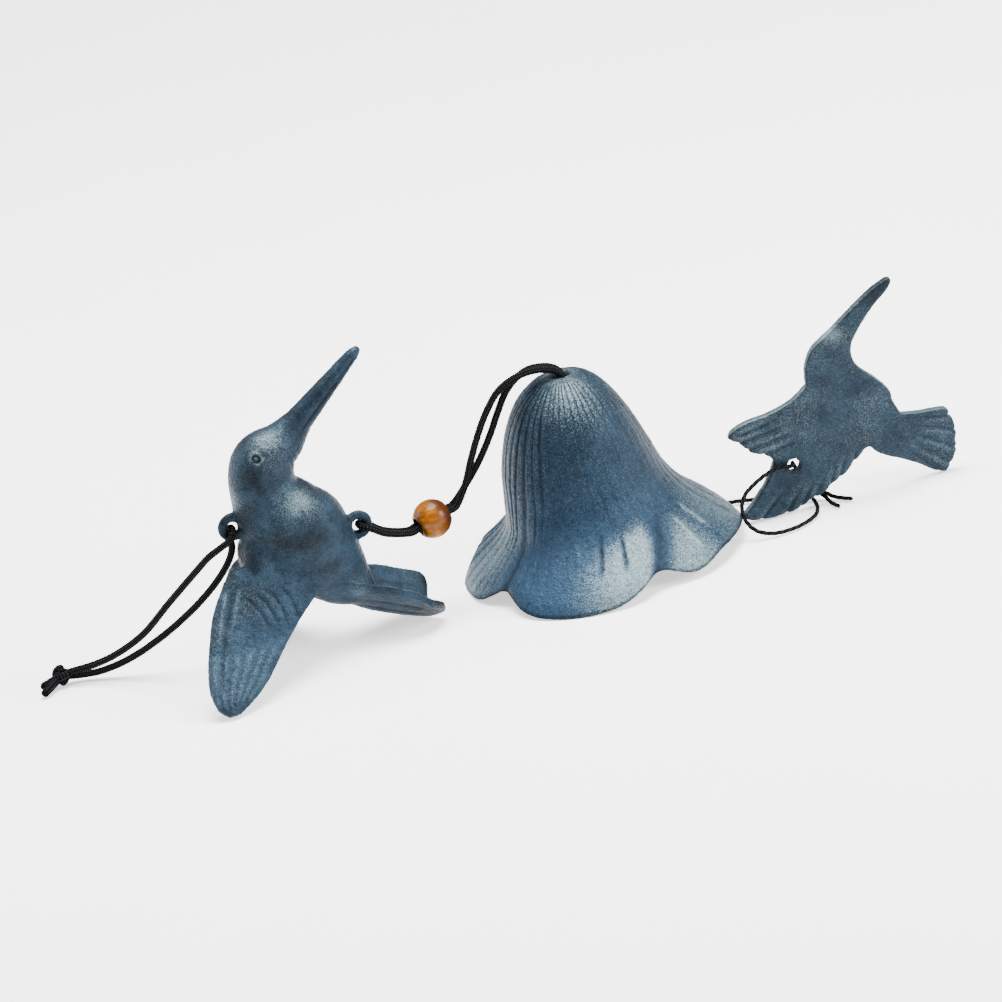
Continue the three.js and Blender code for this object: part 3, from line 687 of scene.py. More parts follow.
BELL_RIM_RADIUS = 45.5
BELL_WALL = 3.2
CROWN_HOLE_RADIUS = 3.2
NOTCH_ANGLES = [24, 95, 157, 220, 296]
NOTCH_WIDTH, NOTCH_LIFT, NOTCH_DEPTH, FLARE_TOP = 12, 5.5, 4.5, 24
# Petals that differ from a round rim: angle, spread, reach and curl.
ODD_PETALS = [(338, 36, 1.3, 5.2), (255, 32, 2.6, 0), (184, 40, -2, 0)]
# Places where the flank leaves the round dome: angle, spread, reach, height and half height.
FLANKS = [(184, 55, -6.2, 13, 9), (180, 65, 1.4, 41, 17), (0, 65, -1.5, 54, 13), (350, 45, 1, 23, 9)]
FLANK_RADIUS = 15
# Small waves of the rim: angle, spread and lift.
RIM_WAVES = [(282, 12, 1.6), (306, 11, -2), (238, 9, 0.7), (322, 9, 0.6), (196, 8, 0.6)]
# Short grooves and ridges: angle and share of the profile at both ends.
BELL_GROOVES = [(273.4, 0.64, 268, 0.83), (285, 0.66, 280, 0.84)]
SOFT_GROOVES = [(236.5, 0.22, 236, 0.55)]
BELL_RIDGES = [(320, 0.66, 317.5, 0.9), (258.5, 0.66, 258.5, 0.76), (331, 0.64, 330, 0.84)]
# Angles along the profile: both sides of the painted highlight on the front petal, the last of the left
# flank's ribs, and the fold next to the highlight.
HIGHLIGHT_LEFT_EDGE = [[0.62, 299], [0.7, 275], [0.78, 263], [0.92, 260], [1, 262]]
HIGHLIGHT_RIGHT_EDGE = [[0.62, 302], [0.73, 300], [0.93, 293], [1, 290]]
RIBS_END = [[0, 240], [0.5, 238], [0.65, 230], [0.8, 214], [1, 208]]
FOLD = [[0.62, 315], [0.65, 312], [0.82, 300], [0.91, 296], [1, 293]]
DOME_PROFILE = np.array([
    [CROWN_HOLE_RADIUS / BELL_RIM_RADIUS, 1], [0.2, 0.977], [0.335, 0.888], [0.43, 0.752], [0.505, 0.568],
    [0.56, 0.416], [0.67, 0.288], [0.83, 0.17], [0.95, 0.072], [1, 0],
]) * [BELL_RIM_RADIUS, BELL_HEIGHT]


def profile_at(shares):
    """Points of the dome's profile at shares of its length in spans, as [radius, height]."""
    last = len(DOME_PROFILE) - 1
    place = np.clip(np.asarray(shares, float), 0, 1) * last
    span = np.minimum(place.astype(int), last - 1)
    t = (place - span)[:, None]
    a, b, c, d = (DOME_PROFILE[np.clip(span + k, 0, last)] for k in (-1, 0, 1, 2))
    leave, arrive = (c - a) / 2, (d - b) / 2
    return (
        (2 * b - 2 * c + leave + arrive) * t ** 3
        + (-3 * b + 3 * c - 2 * leave - arrive) * t ** 2
        + leave * t + b
    )


def angle_apart(angle, middle):
    """Degrees from one angle to another, from -180 to 180."""
    return (angle - middle + 180) % 360 - 180


def nearness(angle, middle, spread):
    """How near an angle is to another one, from 0 far away to 1 at it."""
    return np.maximum(0, np.exp(-(angle_apart(angle, middle) / spread) ** 2) - 0.03)


def petal_shape(angle, radius, height):
    """Radius and height of the bell's uneven flanks and petals, as in the part's source."""
    flare = np.clip((FLARE_TOP - height) / FLARE_TOP, 0, 1) ** 1.5
    girth = np.minimum(1, radius / FLANK_RADIUS)
    reach = radius + 0 * angle
    lift = 0 * reach
    for middle, spread, out, level, tall in FLANKS:
        reach = reach + out * girth * bump(height, level, tall) * nearness(angle, middle, spread)
    for notch in NOTCH_ANGLES:
        share = flare * nearness(angle, notch, NOTCH_WIDTH)
        reach = reach - NOTCH_DEPTH * share
        lift = lift + NOTCH_LIFT * share
    for middle, spread, out, curl in ODD_PETALS:
        share = flare * nearness(angle, middle, spread)
        reach = reach + out * share
        lift = lift + curl * share
    for middle, spread, curl in RIM_WAVES:
        lift = lift + curl * flare ** 2 * nearness(angle, middle, spread)
    return reach, height + lift


BELL_COLUMNS, BELL_ROWS, BELL_INNER_ROWS = 960, 300, 70
FLUTES = 46


def angle_along(rows, down):
    """The angle of a line that runs down the bell, at shares of the profile."""
    shares, angles = np.array(rows).T
    return np.interp(down, shares, angles)


def strokes(rows, angle, down, width):
    """1 on short lines down the bell, falling to 0 over a width in degrees."""
    total = 0 * angle
    for first, start, last, end in rows:
        middle = first + (last - first) * (down - start) / (end - start)
        shown = rise(start, start + 0.06, down) * (1 - rise(end - 0.06, end, down))
        total = total + shown * bump(angle_apart(angle, middle), 0, width)
    return total


def bell_profile():
    """The wall's closed profile of radius and height, down the outside and back up the inside."""
    outer = profile_at(np.linspace(0, 1, BELL_ROWS))
    shares = np.linspace(1, 0, BELL_INNER_ROWS)
    ahead = profile_at(shares + 0.004) - profile_at(shares - 0.004)
    ahead /= np.linalg.norm(ahead, axis=1)[:, None]
    inner = profile_at(shares) + BELL_WALL * np.stack([ahead[:, 1], -ahead[:, 0]], 1)
    inner[:, 0] = np.maximum(inner[:, 0], CROWN_HOLE_RADIUS)
    inner[:, 1] = np.maximum(inner[:, 1], 0)
    return np.concatenate([outer, inner])


def slow_noise(turn, down, round_cells, down_cells, seed):
    """Noise over the bell, by angle in radians and share of the profile."""
    cells = [round_cells * np.cos(turn), round_cells * np.sin(turn), down_cells * down]
    return smooth_noise(np.stack(cells, -1).reshape(-1, 3), 1, seed).reshape(down.shape)


def bell_relief(angle, down):
    """Flutes, creases and ridges of the outside, the flutes' raw grooves and the crests between them."""
    turn = np.radians(angle)
    phase = FLUTES * angle / 360 + 0.55 * slow_noise(turn, down, 4, 3, 3)
    groove = (0.5 + 0.5 * np.cos(2 * np.pi * phase)) ** 3
    front = 0.8 * rise(-6, 8, angle - angle_along(RIBS_END, down)) * (1 - rise(335, 359, angle))
    fluted = rise(0.04, 0.12, down) * (1 - 0.85 * rise(0.86, 0.98, down))
    fluted = fluted * (1 - front * rise(-0.12, 0.36, down))
    depth = 0.75 + 0.3 * slow_noise(turn, down, 2, 2, 8)
    flute = fluted * (1 - 0.5 * nearness(angle, 12, 40)) * depth * groove
    notches = sum(bump(angle_apart(angle, notch), 0, 2.2) for notch in NOTCH_ANGLES[:-1])
    crease = (
        notches * rise(0.6, 0.85, down)
        + bump(angle, angle_along(FOLD, down), 3) * rise(0.62, 0.72, down)
        + 0.75 * strokes(BELL_GROOVES, angle, down, 1.2)
        + 0.4 * strokes(SOFT_GROOVES, angle, down, 2)
    )
    ridge = strokes(BELL_RIDGES, angle, down, 1.6)
    crests = fluted * (1 - groove) * (1 - rise(0.5, 0.8, down) * front)
    return flute, crease, ridge, groove, crests


def bell_dust_and_highlights(angle, down, ridge, groove, crests):
    """Dust and painted highlights on the outside: painted highlights on the petals, the upper dome and the
    crown, and dust on the crests of the flutes.
    """
    petal_highlight = rise(-14, 16, angle - angle_along(HIGHLIGHT_LEFT_EDGE, down)) * rise(0.6, 0.74, down)
    petal_highlight = petal_highlight * (1 - rise(-5, 3, angle - angle_along(HIGHLIGHT_RIGHT_EDGE, down)))
    highlight_past_fold = rise(1, 9, angle - angle_along(FOLD, down)) * rise(0.64, 0.8, down)
    highlight_past_fold = highlight_past_fold * (1 - rise(312, 332, angle))
    off_crown = rise(0.03, 0.1, down)
    top = off_crown * (1 - rise(0.12, 0.36, down)) * nearness(angle, 281, 44)
    # Painted highlights: the petal patches, the upper dome, the crown and the two side petals. Dust: the
    # ridges and the crests of the flutes.
    return (
        0.76 * petal_highlight + 0.64 * highlight_past_fold + 0.35 * ridge + 0.11 * crests
        + 0.64 * top * (1 - 0.55 * groove) + 0.4 * (1 - off_crown)
        + 0.45 * nearness(angle, 344, 18) * rise(0.55, 0.75, down)
        + 0.5 * nearness(angle, 190, 24) * rise(0.55, 0.8, down)
    )


def bell_mesh():
    """The cast bell, a thin shell with uneven petals, fluted and folded on its outside."""
    profile = bell_profile()
    radius, height = profile[:, :1], profile[:, 1:]
    angle = 360 * np.arange(BELL_COLUMNS) / BELL_COLUMNS + 0 * radius
    reach, up = petal_shape(angle, radius, height)
    turn = np.radians(angle)
    points = np.stack([reach * np.cos(turn), reach * np.sin(turn), up], -1).reshape(-1, 3)
    quads = ring_quads(len(profile), BELL_COLUMNS, looped=True)[:, ::-1]
    mesh = make_mesh("flower_bell_cast", points, quads)

    # Share of the profile from the crown down. The inside has no flutes or folds, so one share does.
    shares = np.concatenate([np.linspace(0, 1, BELL_ROWS), np.full(BELL_INNER_ROWS, 0.5)])
    down = shares[:, None] + 0 * angle
    outside = np.repeat([1, 0], [BELL_ROWS, BELL_INNER_ROWS])[:, None] + 0 * angle
    flute, crease, ridge, groove, crests = bell_relief(angle, down)
    flute, crease, ridge = outside * flute, outside * crease, outside * ridge
    # Painted shade: a dark band along the edge of the rim, and the inside darkest next to the rim.
    brim_shade = outside * rise(0.955, 0.978, down)
    brim_shade[BELL_ROWS:] = (1 - rise(0, 8, np.arange(BELL_INNER_ROWS)))[:, None]
    grain = smooth_noise(points, 0.7, 11) + 0.6 * smooth_noise(points, 1.6, 12)
    lift = 0.07 * grain + (0.4 * ridge - 0.5 * flute - 0.6 * crease).ravel()
    off_hole = (outside * rise(0, 0.03, down) + 1 - outside).ravel()
    move_points(mesh, points + (lift * off_hole)[:, None] * normals_of(mesh))

    # Pale: dust on the crests and ridges, and painted highlights on the petals, the dome and the crown.
    dust = outside * bell_dust_and_highlights(angle, down, ridge, groove, crests) * (1 - np.minimum(1, crease))
    clear = outside * rise(0.3, 0.9, down) * (0.4 + 0.55 * nearness(angle, 250, 45))
    # Dark: soot in the flutes and short grooves, painted shade along the folds and notches, over the whole
    # inside and in the band along the rim.
    soot = 0.45 * flute + 0.65 * crease + 0.35 * (1 - outside) + 0.95 * brim_shade
    add_values(mesh, pale=dust, clear=clear, dark=soot)
    return mesh


add_piece("flower_bell_cast", bell_mesh(), "bell", "bell_iron", "flower_bell")


# Cast birds


def loft(name, rings, folded=False):
    """A closed mesh through rings of points. Its ends are fans, or strips across a ring folded in half."""
    rows, sides = rings.shape[:2]
    points = rings.reshape(-1, 3)
    quads = ring_quads(rows, sides)
    if folded:
        edge = np.arange(sides // 2 - 1)
        strip = np.stack([edge, edge + 1, sides - 2 - edge, sides - 1 - edge], 1)
        return make_mesh(name, points, np.concatenate([quads, strip[:, ::-1], (rows - 1) * sides + strip]))
    points = np.concatenate([points, [rings[0].mean(axis=0), rings[-1].mean(axis=0)]])
    return make_mesh(name, points, quads, end_fans(rows, sides))


def one_skin(name, meshes, grain):
    """One skin of quads about a grain wide round several closed meshes."""
    holder = bpy.data.objects.new(name, join_meshes(name, meshes))
    bpy.context.scene.collection.objects.link(holder)
    remesh = holder.modifiers.new("skin", "REMESH")
    remesh.mode = "VOXEL"
    remesh.voxel_size = grain * MM
    bpy.context.view_layer.update()
    skin = bpy.data.meshes.new_from_object(holder.evaluated_get(bpy.context.evaluated_depsgraph_get()))
    bpy.data.objects.remove(holder)
    skin.name = name
    return skin


def relax(mesh, share, rounds):
    """Moves each point towards the middle of its neighbours, by its own share in each round."""
    count = len(mesh.vertices)
    ends = np.zeros(2 * len(mesh.edges), np.int32)
    mesh.edges.foreach_get("vertices", ends)
    first, second = ends.reshape(-1, 2).T
    near = np.bincount(first, minlength=count) + np.bincount(second, minlength=count)
    points = points_of(mesh)
    for _ in range(rounds):
        total = np.stack([
            np.bincount(first, points[second, k], count) + np.bincount(second, points[first, k], count)
            for k in range(3)
        ], 1)
        points += share[:, None] * (total / near[:, None] - points)
    move_points(mesh, points)


def grain_of(points):
    """Sandy cast surface: fine grains on slow swells."""
    return (0.07 * smooth_noise(points, 0.6, 11) + 0.07 * smooth_noise(points, 1.4, 12)
            + 0.06 * smooth_noise(points, 4.0, 13))


BIRD_GRAIN = 0.32
WING_ROOT_Y, WING_TIP_Y, WING_ROOT_Z, WING_THICKNESS = 8, 32, 33, 3.6
# Direction that a wing's upper face looks in: outwards and up.
WING_FACING = (0.8, 0.6)
FAR_WING_SWEEP, FAR_WING_SHIFT = 20, 8
TAIL_THICKNESS, LOBE_REACH = 3, 3.5
# Spine points: x, z, half width in the bird's plane and half width across it.
BIRD_SPINE = [
    [63.9, 94, 1, 1], [61.7, 92.5, 2, 1.9], [50.7, 84.1, 3.3, 3], [41, 76.7, 4.4, 3.9],
    [33.9, 71.1, 7.1, 6.6], [26.2, 66.4, 9.8, 9], [24.8, 58, 10.7, 8.8], [27.8, 48.9, 13.8, 11.2],
    [32.8, 39.6, 16.2, 12], [39.2, 28.8, 13, 9.8], [45, 20.2, 9, 6.8], [51, 13.6, 3.4, 4],
]
# Wing rows: share of the span, x of the leading edge and x of the trailing edge.
WING_ROWS = [
    [-0.12, 7.5, 39], [0, 2.8, 38], [0.2, -2.4, 33.8], [0.4, -6.2, 24.6], [0.6, -9.4, 16], [0.8, -11.3, 8.3],
    [0.92, -10.6, 1.8], [1, -8, -3.8],
]
# Upper half of a wing's section: share of the chord and share of the half thickness.
WING_SECTION = [
    [0, 0], [0.03, 0.55], [0.08, 0.8], [0.18, 0.95], [0.3, 1], [0.48, 0.92], [0.65, 0.75], [1, 0.2],
]
# Tail rows: x, height of the valley, half width and rise of the lobes.
TAIL_ROWS = [[37, 20.5, 5, 3], [47, 13, 9.4, 9.2], [56, 8.2, 12, 10.6], [64, 4.7, 13, 9.8], [69, 3, 13, 8]]
# The swelling between a lug and the body: its distance from the lug's ring, and its reach.
ROOT_OFFSET, ROOT_REACH = 2.1, (3.4, 1.2 * EYE_WIRE_RADIUS, 6.8)


def in_layout(x, y, z):
    """Places of the large hummingbird's own frame as an array of layout points."""
    return np.stack(bird_point(np.asarray(x), np.asarray(y), np.asarray(z)), -1)


def body_mesh():
    """Beak, head and body, lofted along the spine."""
    rows = np.array(BIRD_SPINE)
    spine = spline(rows[:, :2], 10)[:, None]
    width = spline(rows[:, 2:], 10)[:, None]
    ahead = np.gradient(spine[:, 0], axis=0)[:, None]
    ahead = ahead / np.linalg.norm(ahead, axis=2, keepdims=True)
    turn = np.linspace(0, 2 * np.pi, 72, endpoint=False)[None]
    out = width[..., 0] * np.cos(turn)
    x = spine[..., 0] + out * ahead[..., 1]
    z = spine[..., 1] - out * ahead[..., 0]
    return loft("body", in_layout(x, width[..., 1] * np.sin(turn), z))


def wing_mesh(across, shift, sweep):
    """One wing, on the side that across gives, moved and swept towards the beak."""
    span, lead, trail = spline(WING_ROWS, 10).T[..., None]
    upper = np.array(WING_SECTION)
    section = np.concatenate([
        np.column_stack([upper, np.ones(len(upper))]),
        np.column_stack([upper[:0:-1], -np.ones(len(upper) - 1)]),
    ])
    share, swell, face = section.T[:, None]
    half = 0.5 * WING_THICKNESS * (1 - 0.25 * np.maximum(span, 0))
    out, up = WING_FACING
    skin = face * swell * half
    x = lead + shift + sweep * np.maximum(span, 0) + (trail - lead) * share
    y = WING_ROOT_Y + (WING_TIP_Y - WING_ROOT_Y) * span
    z = up * half + (WING_ROOT_Z - up * half) * (1 - span)
    return loft("wing", in_layout(x, across * (y + out * skin), z + up * skin))


def tail_mesh():
    """The V-shaped fan of the tail, with two rounded lobes."""
    x, valley, width, lobes = spline(TAIL_ROWS, 10).T[..., None]
    across = np.linspace(-1, 1, 41)
    share = np.concatenate([across, across[::-1]])[None]
    below = np.repeat([0, 1], len(across))[None]
    reach = LOBE_REACH * np.clip((x - TAIL_ROWS[-2][0]) / (TAIL_ROWS[-1][0] - TAIL_ROWS[-2][0]), 0, 1)
    out = np.abs(share)
    far_end = np.sin(0.5 * np.pi * out) ** 2.5 - 0.35 * rise(0.8, 1, out)
    near_end = np.sin(np.pi * out ** 0.8) - 0.6 * rise(0.5, 1, out)
    return loft("tail", in_layout(
        x + reach * np.where(share > 0, far_end, near_end),
        width * share,
        valley + lobes * out ** 1.2 - below * TAIL_THICKNESS), folded=True)


def eye_mesh(eye):
    """A flat rounded lug round the hole for a cord."""
    turn = np.linspace(0, 2 * np.pi, 60)[:, None]
    round_it = np.linspace(0, 2 * np.pi, 24, endpoint=False)[None]
    out = np.sign(np.cos(round_it)) * np.abs(np.cos(round_it)) ** 0.7
    radius = EYE_RADIUS + EYE_WIRE_RADIUS * np.where(out > 0, 1.25, 1) * out
    side = EYE_WIRE_RADIUS * np.sign(np.sin(round_it)) * np.abs(np.sin(round_it)) ** 0.7
    x = eye[0] + radius * np.cos(turn)
    z = eye[1] + radius * np.sin(turn)
    return loft("eye", in_layout(x, side + 0 * turn, z))


def swelling(middle, reach):
    """An egg round a place of the bird's frame, with its reach along each axis."""
    rise_angle = np.linspace(-1.5, 1.5, 24)[:, None]
    turn = np.linspace(0, 2 * np.pi, 36, endpoint=False)[None]
    ring = np.cos(rise_angle)
    return loft("swelling", in_layout(
        middle[0] + reach[0] * ring * np.cos(turn),
        middle[1] + reach[1] * ring * np.sin(turn),
        middle[2] + reach[2] * np.sin(rise_angle) + 0 * turn))


def root_mesh(eye, way):
    """The swelling that joins a lug to the body."""
    return swelling((eye[0] + way * (EYE_RADIUS + ROOT_OFFSET), 0, eye[1]), ROOT_REACH)


def in_wing(x, y, z):
    """Share of the span, share of the chord and distance from the middle of the nearer wing."""
    long, tall = WING_TIP_Y - WING_ROOT_Y, WING_ROOT_Z - 1
    out, down = np.abs(y) - WING_ROOT_Y, WING_ROOT_Z - z
    span = (out * long + down * tall) / (long ** 2 + tall ** 2)
    off = (out * tall - down * long) / math.hypot(long, tall)
    rows = np.array(WING_ROWS)
    offset = np.where(y > 0, FAR_WING_SHIFT + FAR_WING_SWEEP * np.maximum(span, 0), 0)
    lead = np.interp(span, rows[:, 0], rows[:, 1]) + offset
    trail = np.interp(span, rows[:, 0], rows[:, 2]) + offset
    return span, (x - lead) / (trail - lead), off


# Shares of the chord where the long feathers lie, and the grooves between the short ones.
FEATHERS = [0.09, 0.22, 0.38, 0.54, 0.7, 0.86]
COVERTS = [0.3, 0.4, 0.5, 0.62]


def wing_relief(span, chord):
    """Height of the feathers on a wing, and how much dust and soot it holds."""
    long = sum(bump(chord, at - 0.12 * (span - 0.57), 0.042) for at in FEATHERS)
    long = long * rise(0.5, 0.62, span) * (1 - rise(0.9, 0.98, span))
    edge = 0.08 + 0.09 * span
    band = (1 - rise(edge - 0.03, edge + 0.02, chord)) * (1 - rise(0.7, 0.85, span))
    behind = bump(chord, edge + 0.045, 0.025) * rise(0.02, 0.1, span) * (1 - rise(0.7, 0.85, span))
    short = sum(bump(chord, at + 1.3 * (span - 0.15), 0.022) for at in COVERTS)
    short = short * rise(0.1, 0.18, span) * (1 - rise(0.36, 0.46, span))
    fold = bump(chord, edge - 0.01, 0.02) + 0.7 * bump(chord, edge + 0.11, 0.02)
    fold = fold * rise(-0.02, 0.06, span) * (1 - rise(0.25, 0.5, span))
    lift = 0.42 * long + 0.3 * band - 0.3 * behind - 0.3 * short + 0.3 * fold
    dust = 0.2 * long + 0.07 * band + 0.26 * fold
    rim = 0.55 * rise(0.84, 1, span) + 0.35 * (1 - rise(0, 0.06, chord)) + 0.3 * rise(0.9, 1, chord)
    return lift, dust, 0.42 * (behind + short) + rim


def near(x, y, z, middle, reach):
    """1 at a place of a bird's frame, falling to 0 at its reach along each axis."""
    apart = sum(((value - at) / size) ** 2 for value, at, size in zip((x, y, z), middle, reach))
    return np.exp(-2 * apart)


def patches(x, y, z, rows):
    """The sum of soft patches, each with its strength, middle and reach."""
    return sum(strength * near(x, y, z, middle, reach) for strength, middle, reach in rows)


def from_line(x, z, start, end):
    """Distance along a line in a bird's plane from its start, and distance off it."""
    way = np.subtract(end, start) / math.dist(start, end)
    x, z = x - start[0], z - start[1]
    return x * way[0] + z * way[1], x * way[1] - z * way[0]


FACE_EYE, FACE_EYE_RADIUS = (23, 70.9), 1.6
THROAT, THROAT_REACH = (30.4, 0, 62.4), (5.4, 6.6, 7)
BACK, BACK_REACH = (18, 0, 37), (5.5, 9, 8.5)
BEAK_START, BEAK_END = (36.5, 72), (62, 92.4)
THROAT_WRINKLES, TAIL_QUILLS = (50.2, 52.2, 54), (0.3, 0.62)
# Places of the large bird, the same on both sides: where its forms run together, where highlights are
# painted, and where soot and painted shade lie. Each has its strength, its middle and its reach.
BIRD_JOINS = [
    (1, (15, 7, 39), (8, 9, 11)), (1, (20, 10, 32), (24, 5, 7)), (1, (45, 4, 19), (9, 12, 8)),
    (1, (17, 0, BACK_EYE[1]), (2.5, 3, 7)), (1, (47, 0, BELLY_EYE[1]), (2.5, 3, 7)),
    (1, (33, 2, 62), (6, 8, 9)), (0.2, (72, 8, 8), (5, 12, 9)),
]
BIRD_HIGHLIGHTS = [
    (0.46, (33, 9, 54), (10, 6, 8)), (0.4, (28, 6, 75), (7, 6, 4)), (0.45, (14, 3, 58), (3, 6, 6)),
    (0.4, (47, 6, 20), (5, 6, 5)), (0.14, (26, 8, 69), (10, 8, 8)),
]
BIRD_SOOT_AND_SHADE = [
    (0.95, (20, 8, 65), (8, 6, 8)), (0.95, (31, 12, 41.5), (15, 7, 6.5)), (0.5, (38, 10, 32), (6, 5, 6)),
    (0.6, (15, 6, 53), (5, 6, 7)), (0.9, (11, 0, BACK_EYE[1]), (6, 4, 8)),
    (0.7, (53, 0, BELLY_EYE[1]), (5, 4, 7)), (1.1, (13, 2, 37), (4, 7, 8)),
]


def bird_skin():
    """The large hummingbird as one skin, with soft joins between its forms."""
    mesh = one_skin("hummingbird_cast", [
        body_mesh(), wing_mesh(-1, 0, 0), wing_mesh(1, FAR_WING_SHIFT, FAR_WING_SWEEP), tail_mesh(),
        eye_mesh(BACK_EYE), root_mesh(BACK_EYE, 1), eye_mesh(BELLY_EYE), root_mesh(BELLY_EYE, -1),
        swelling(THROAT, THROAT_REACH), swelling(BACK, BACK_REACH),
    ], BIRD_GRAIN)
    x, y, z = own_frame(points_of(mesh), BIRD_PLACE, BIRD_YAW)
    relax(mesh, np.clip(0.06 + 0.8 * patches(x, np.abs(y), z, BIRD_JOINS), 0, 0.6), 80)
    return mesh


def face_marks(x, side, z):
    """The eye's raised ring, the groove in it and its pupil."""
    apart = np.hypot(x - FACE_EYE[0], z - FACE_EYE[1])
    marks = ((FACE_EYE_RADIUS, 0.4), (1, 0.4), (0, 0.75))
    return [rise(3, 4.5, side) * bump(apart, radius, width) for radius, width in marks]


def beak_marks(x, side, z):
    """The beak, the slit along it and the wrinkles of the throat."""
    along, apart = from_line(x, z, BEAK_START, BEAK_END)
    on_beak = rise(0, 6, along) * (1 - rise(31, 32.5, along))
    slit = on_beak * bump(apart, 0.3, 0.4) * rise(0.8, 1.6, side)
    wrinkle = sum(bump(x + 0.25 * z, at, 0.4) for at in THROAT_WRINKLES)
    return on_beak, slit, wrinkle * near(x, side, z, (35.5, 4, 66.5), (4, 5, 6))


def tail_marks(x, side, z):
    """The outer edges of the tail's fan, and the quills on it."""
    rows = np.array(TAIL_ROWS)
    share = side / np.interp(x, rows[:, 0], rows[:, 2])
    tailed = rise(46, 52, x) * (1 - rise(22, 24, z))
    quill = tailed * (1 - rise(62, 68, x)) * sum(bump(share, at, 0.06) for at in TAIL_QUILLS)
    return tailed * rise(0.92, 1, share), quill


def hummingbird_mesh():
    """The large hummingbird, with feathers, face, beak and quills in its skin."""
    mesh = bird_skin()
    points = points_of(mesh)
    x, y, z = own_frame(points, BIRD_PLACE, BIRD_YAW)
    side = np.abs(y)
    span, chord, off = in_wing(x, y, z)
    winged = (1 - rise(2.2, 3, np.abs(off))) * rise(0.02, 0.1, span)
    winged *= rise(-0.05, 0.02, chord) * (1 - rise(1, 1.06, chord))
    feathers, feather_dust, feather_soot = wing_relief(span, chord)
    ring, iris, pupil = face_marks(x, side, z)
    on_beak, slit, wrinkle = beak_marks(x, side, z)
    tail_edge, quill = tail_marks(x, side, z)
    lift = (
        winged * feathers + 0.5 * ring - 0.45 * iris + 0.2 * pupil
        - 0.4 * slit - 0.35 * wrinkle - 0.3 * quill + grain_of(points)
    )
    move_points(mesh, points + lift[:, None] * normals_of(mesh))

    up = normals_of(mesh)[:, 2]
    mottle = smooth_noise(points, 7, 21)
    worn = 0.5 + 0.5 * smooth_noise(points, 1.1, 22)
    stain = np.maximum(0, smooth_noise(points, 2.2, 23)) * (1 - 0.7 * winged)
    # Painted highlights: the listed patches on the breast, head, nape and tail root, the tail's upper edges
    # and faces that look up. Dust: on the feathers, worn on the eye's ring, on the pupil and in mottles.
    dust = (
        patches(x, side, z, BIRD_HIGHLIGHTS) + winged * feather_dust + 0.5 * ring * worn + 0.25 * pupil
        + 0.5 * tail_edge * rise(0.5, 0.9, up) + 0.1 * rise(0.1, 0.9, up) + 0.08 * mottle
    )
    # Soot with painted shade: the listed dark patches at the neck, between body and wing, round the lugs and
    # behind the back lug; soot on the feather edges, beak, eye, wrinkles, quills and tail tips, with mottles
    # and stains.
    soot = (
        patches(x, side, z, BIRD_SOOT_AND_SHADE) + winged * feather_soot + 0.36 * on_beak + 0.8 * slit + 0.5 * iris
        + 0.4 * wrinkle + 0.5 * quill + 0.6 * rise(62, 72, x) * (1 - rise(20, 24, z))
        + 0.12 * mottle + 0.35 * stain
    )
    clear = winged * rise(0.2, 0.6, span) + near(x, side, z, (48, 3, 32), (6, 8, 8))
    add_values(mesh, pale=dust, clear=0.4 * clear, dark=soot)
    return mesh


add_piece("hummingbird_cast", hummingbird_mesh(), "hummingbird", "bird_iron", "hummingbird")


PLATE_GRAIN = 0.28
PLATE_HOLE = (7.4, 15.6)
PLATE_STAIN = (26.7, 17.7)
# Feather grooves of the flat bird, out to the edge that they notch: both ends of each, in its own plane.
PLATE_GROOVES = [
    ((8, 33), (-7, 30)), ((10, 30), (-8.6, 27.4)), ((12.4, 27), (-6.2, 24.4)), ((13.4, 24.1), (-2.2, 21.4)),
    ((6.3, 11.6), (-6.4, 0.2)), ((10.6, 10.4), (1.2, -0.4)), ((14.2, 10.5), (6.4, 0.6)),
    ((17.5, 11.7), (11.4, 2.2)), ((20.8, 12.9), (16.4, 3.4)), ((24.2, 15.1), (20.8, 7)),
    ((27.5, 16.3), (26, 9.6)), ((44.9, 21.3), (58.6, 18.4)), ((44.5, 19.6), (60, 13.2)),
    ((43.5, 17.7), (59.4, 7.2)), ((42.7, 15.8), (57, 2)), ((41.2, 13.8), (53, 0)),
]
# Places where the flat bird's faces swell: strength, middle and reach.
PLATE_BODY = [(1, (27, 0, 30), (15, 1, 14)), (1, (25, 0, 48), (9, 1, 9))]


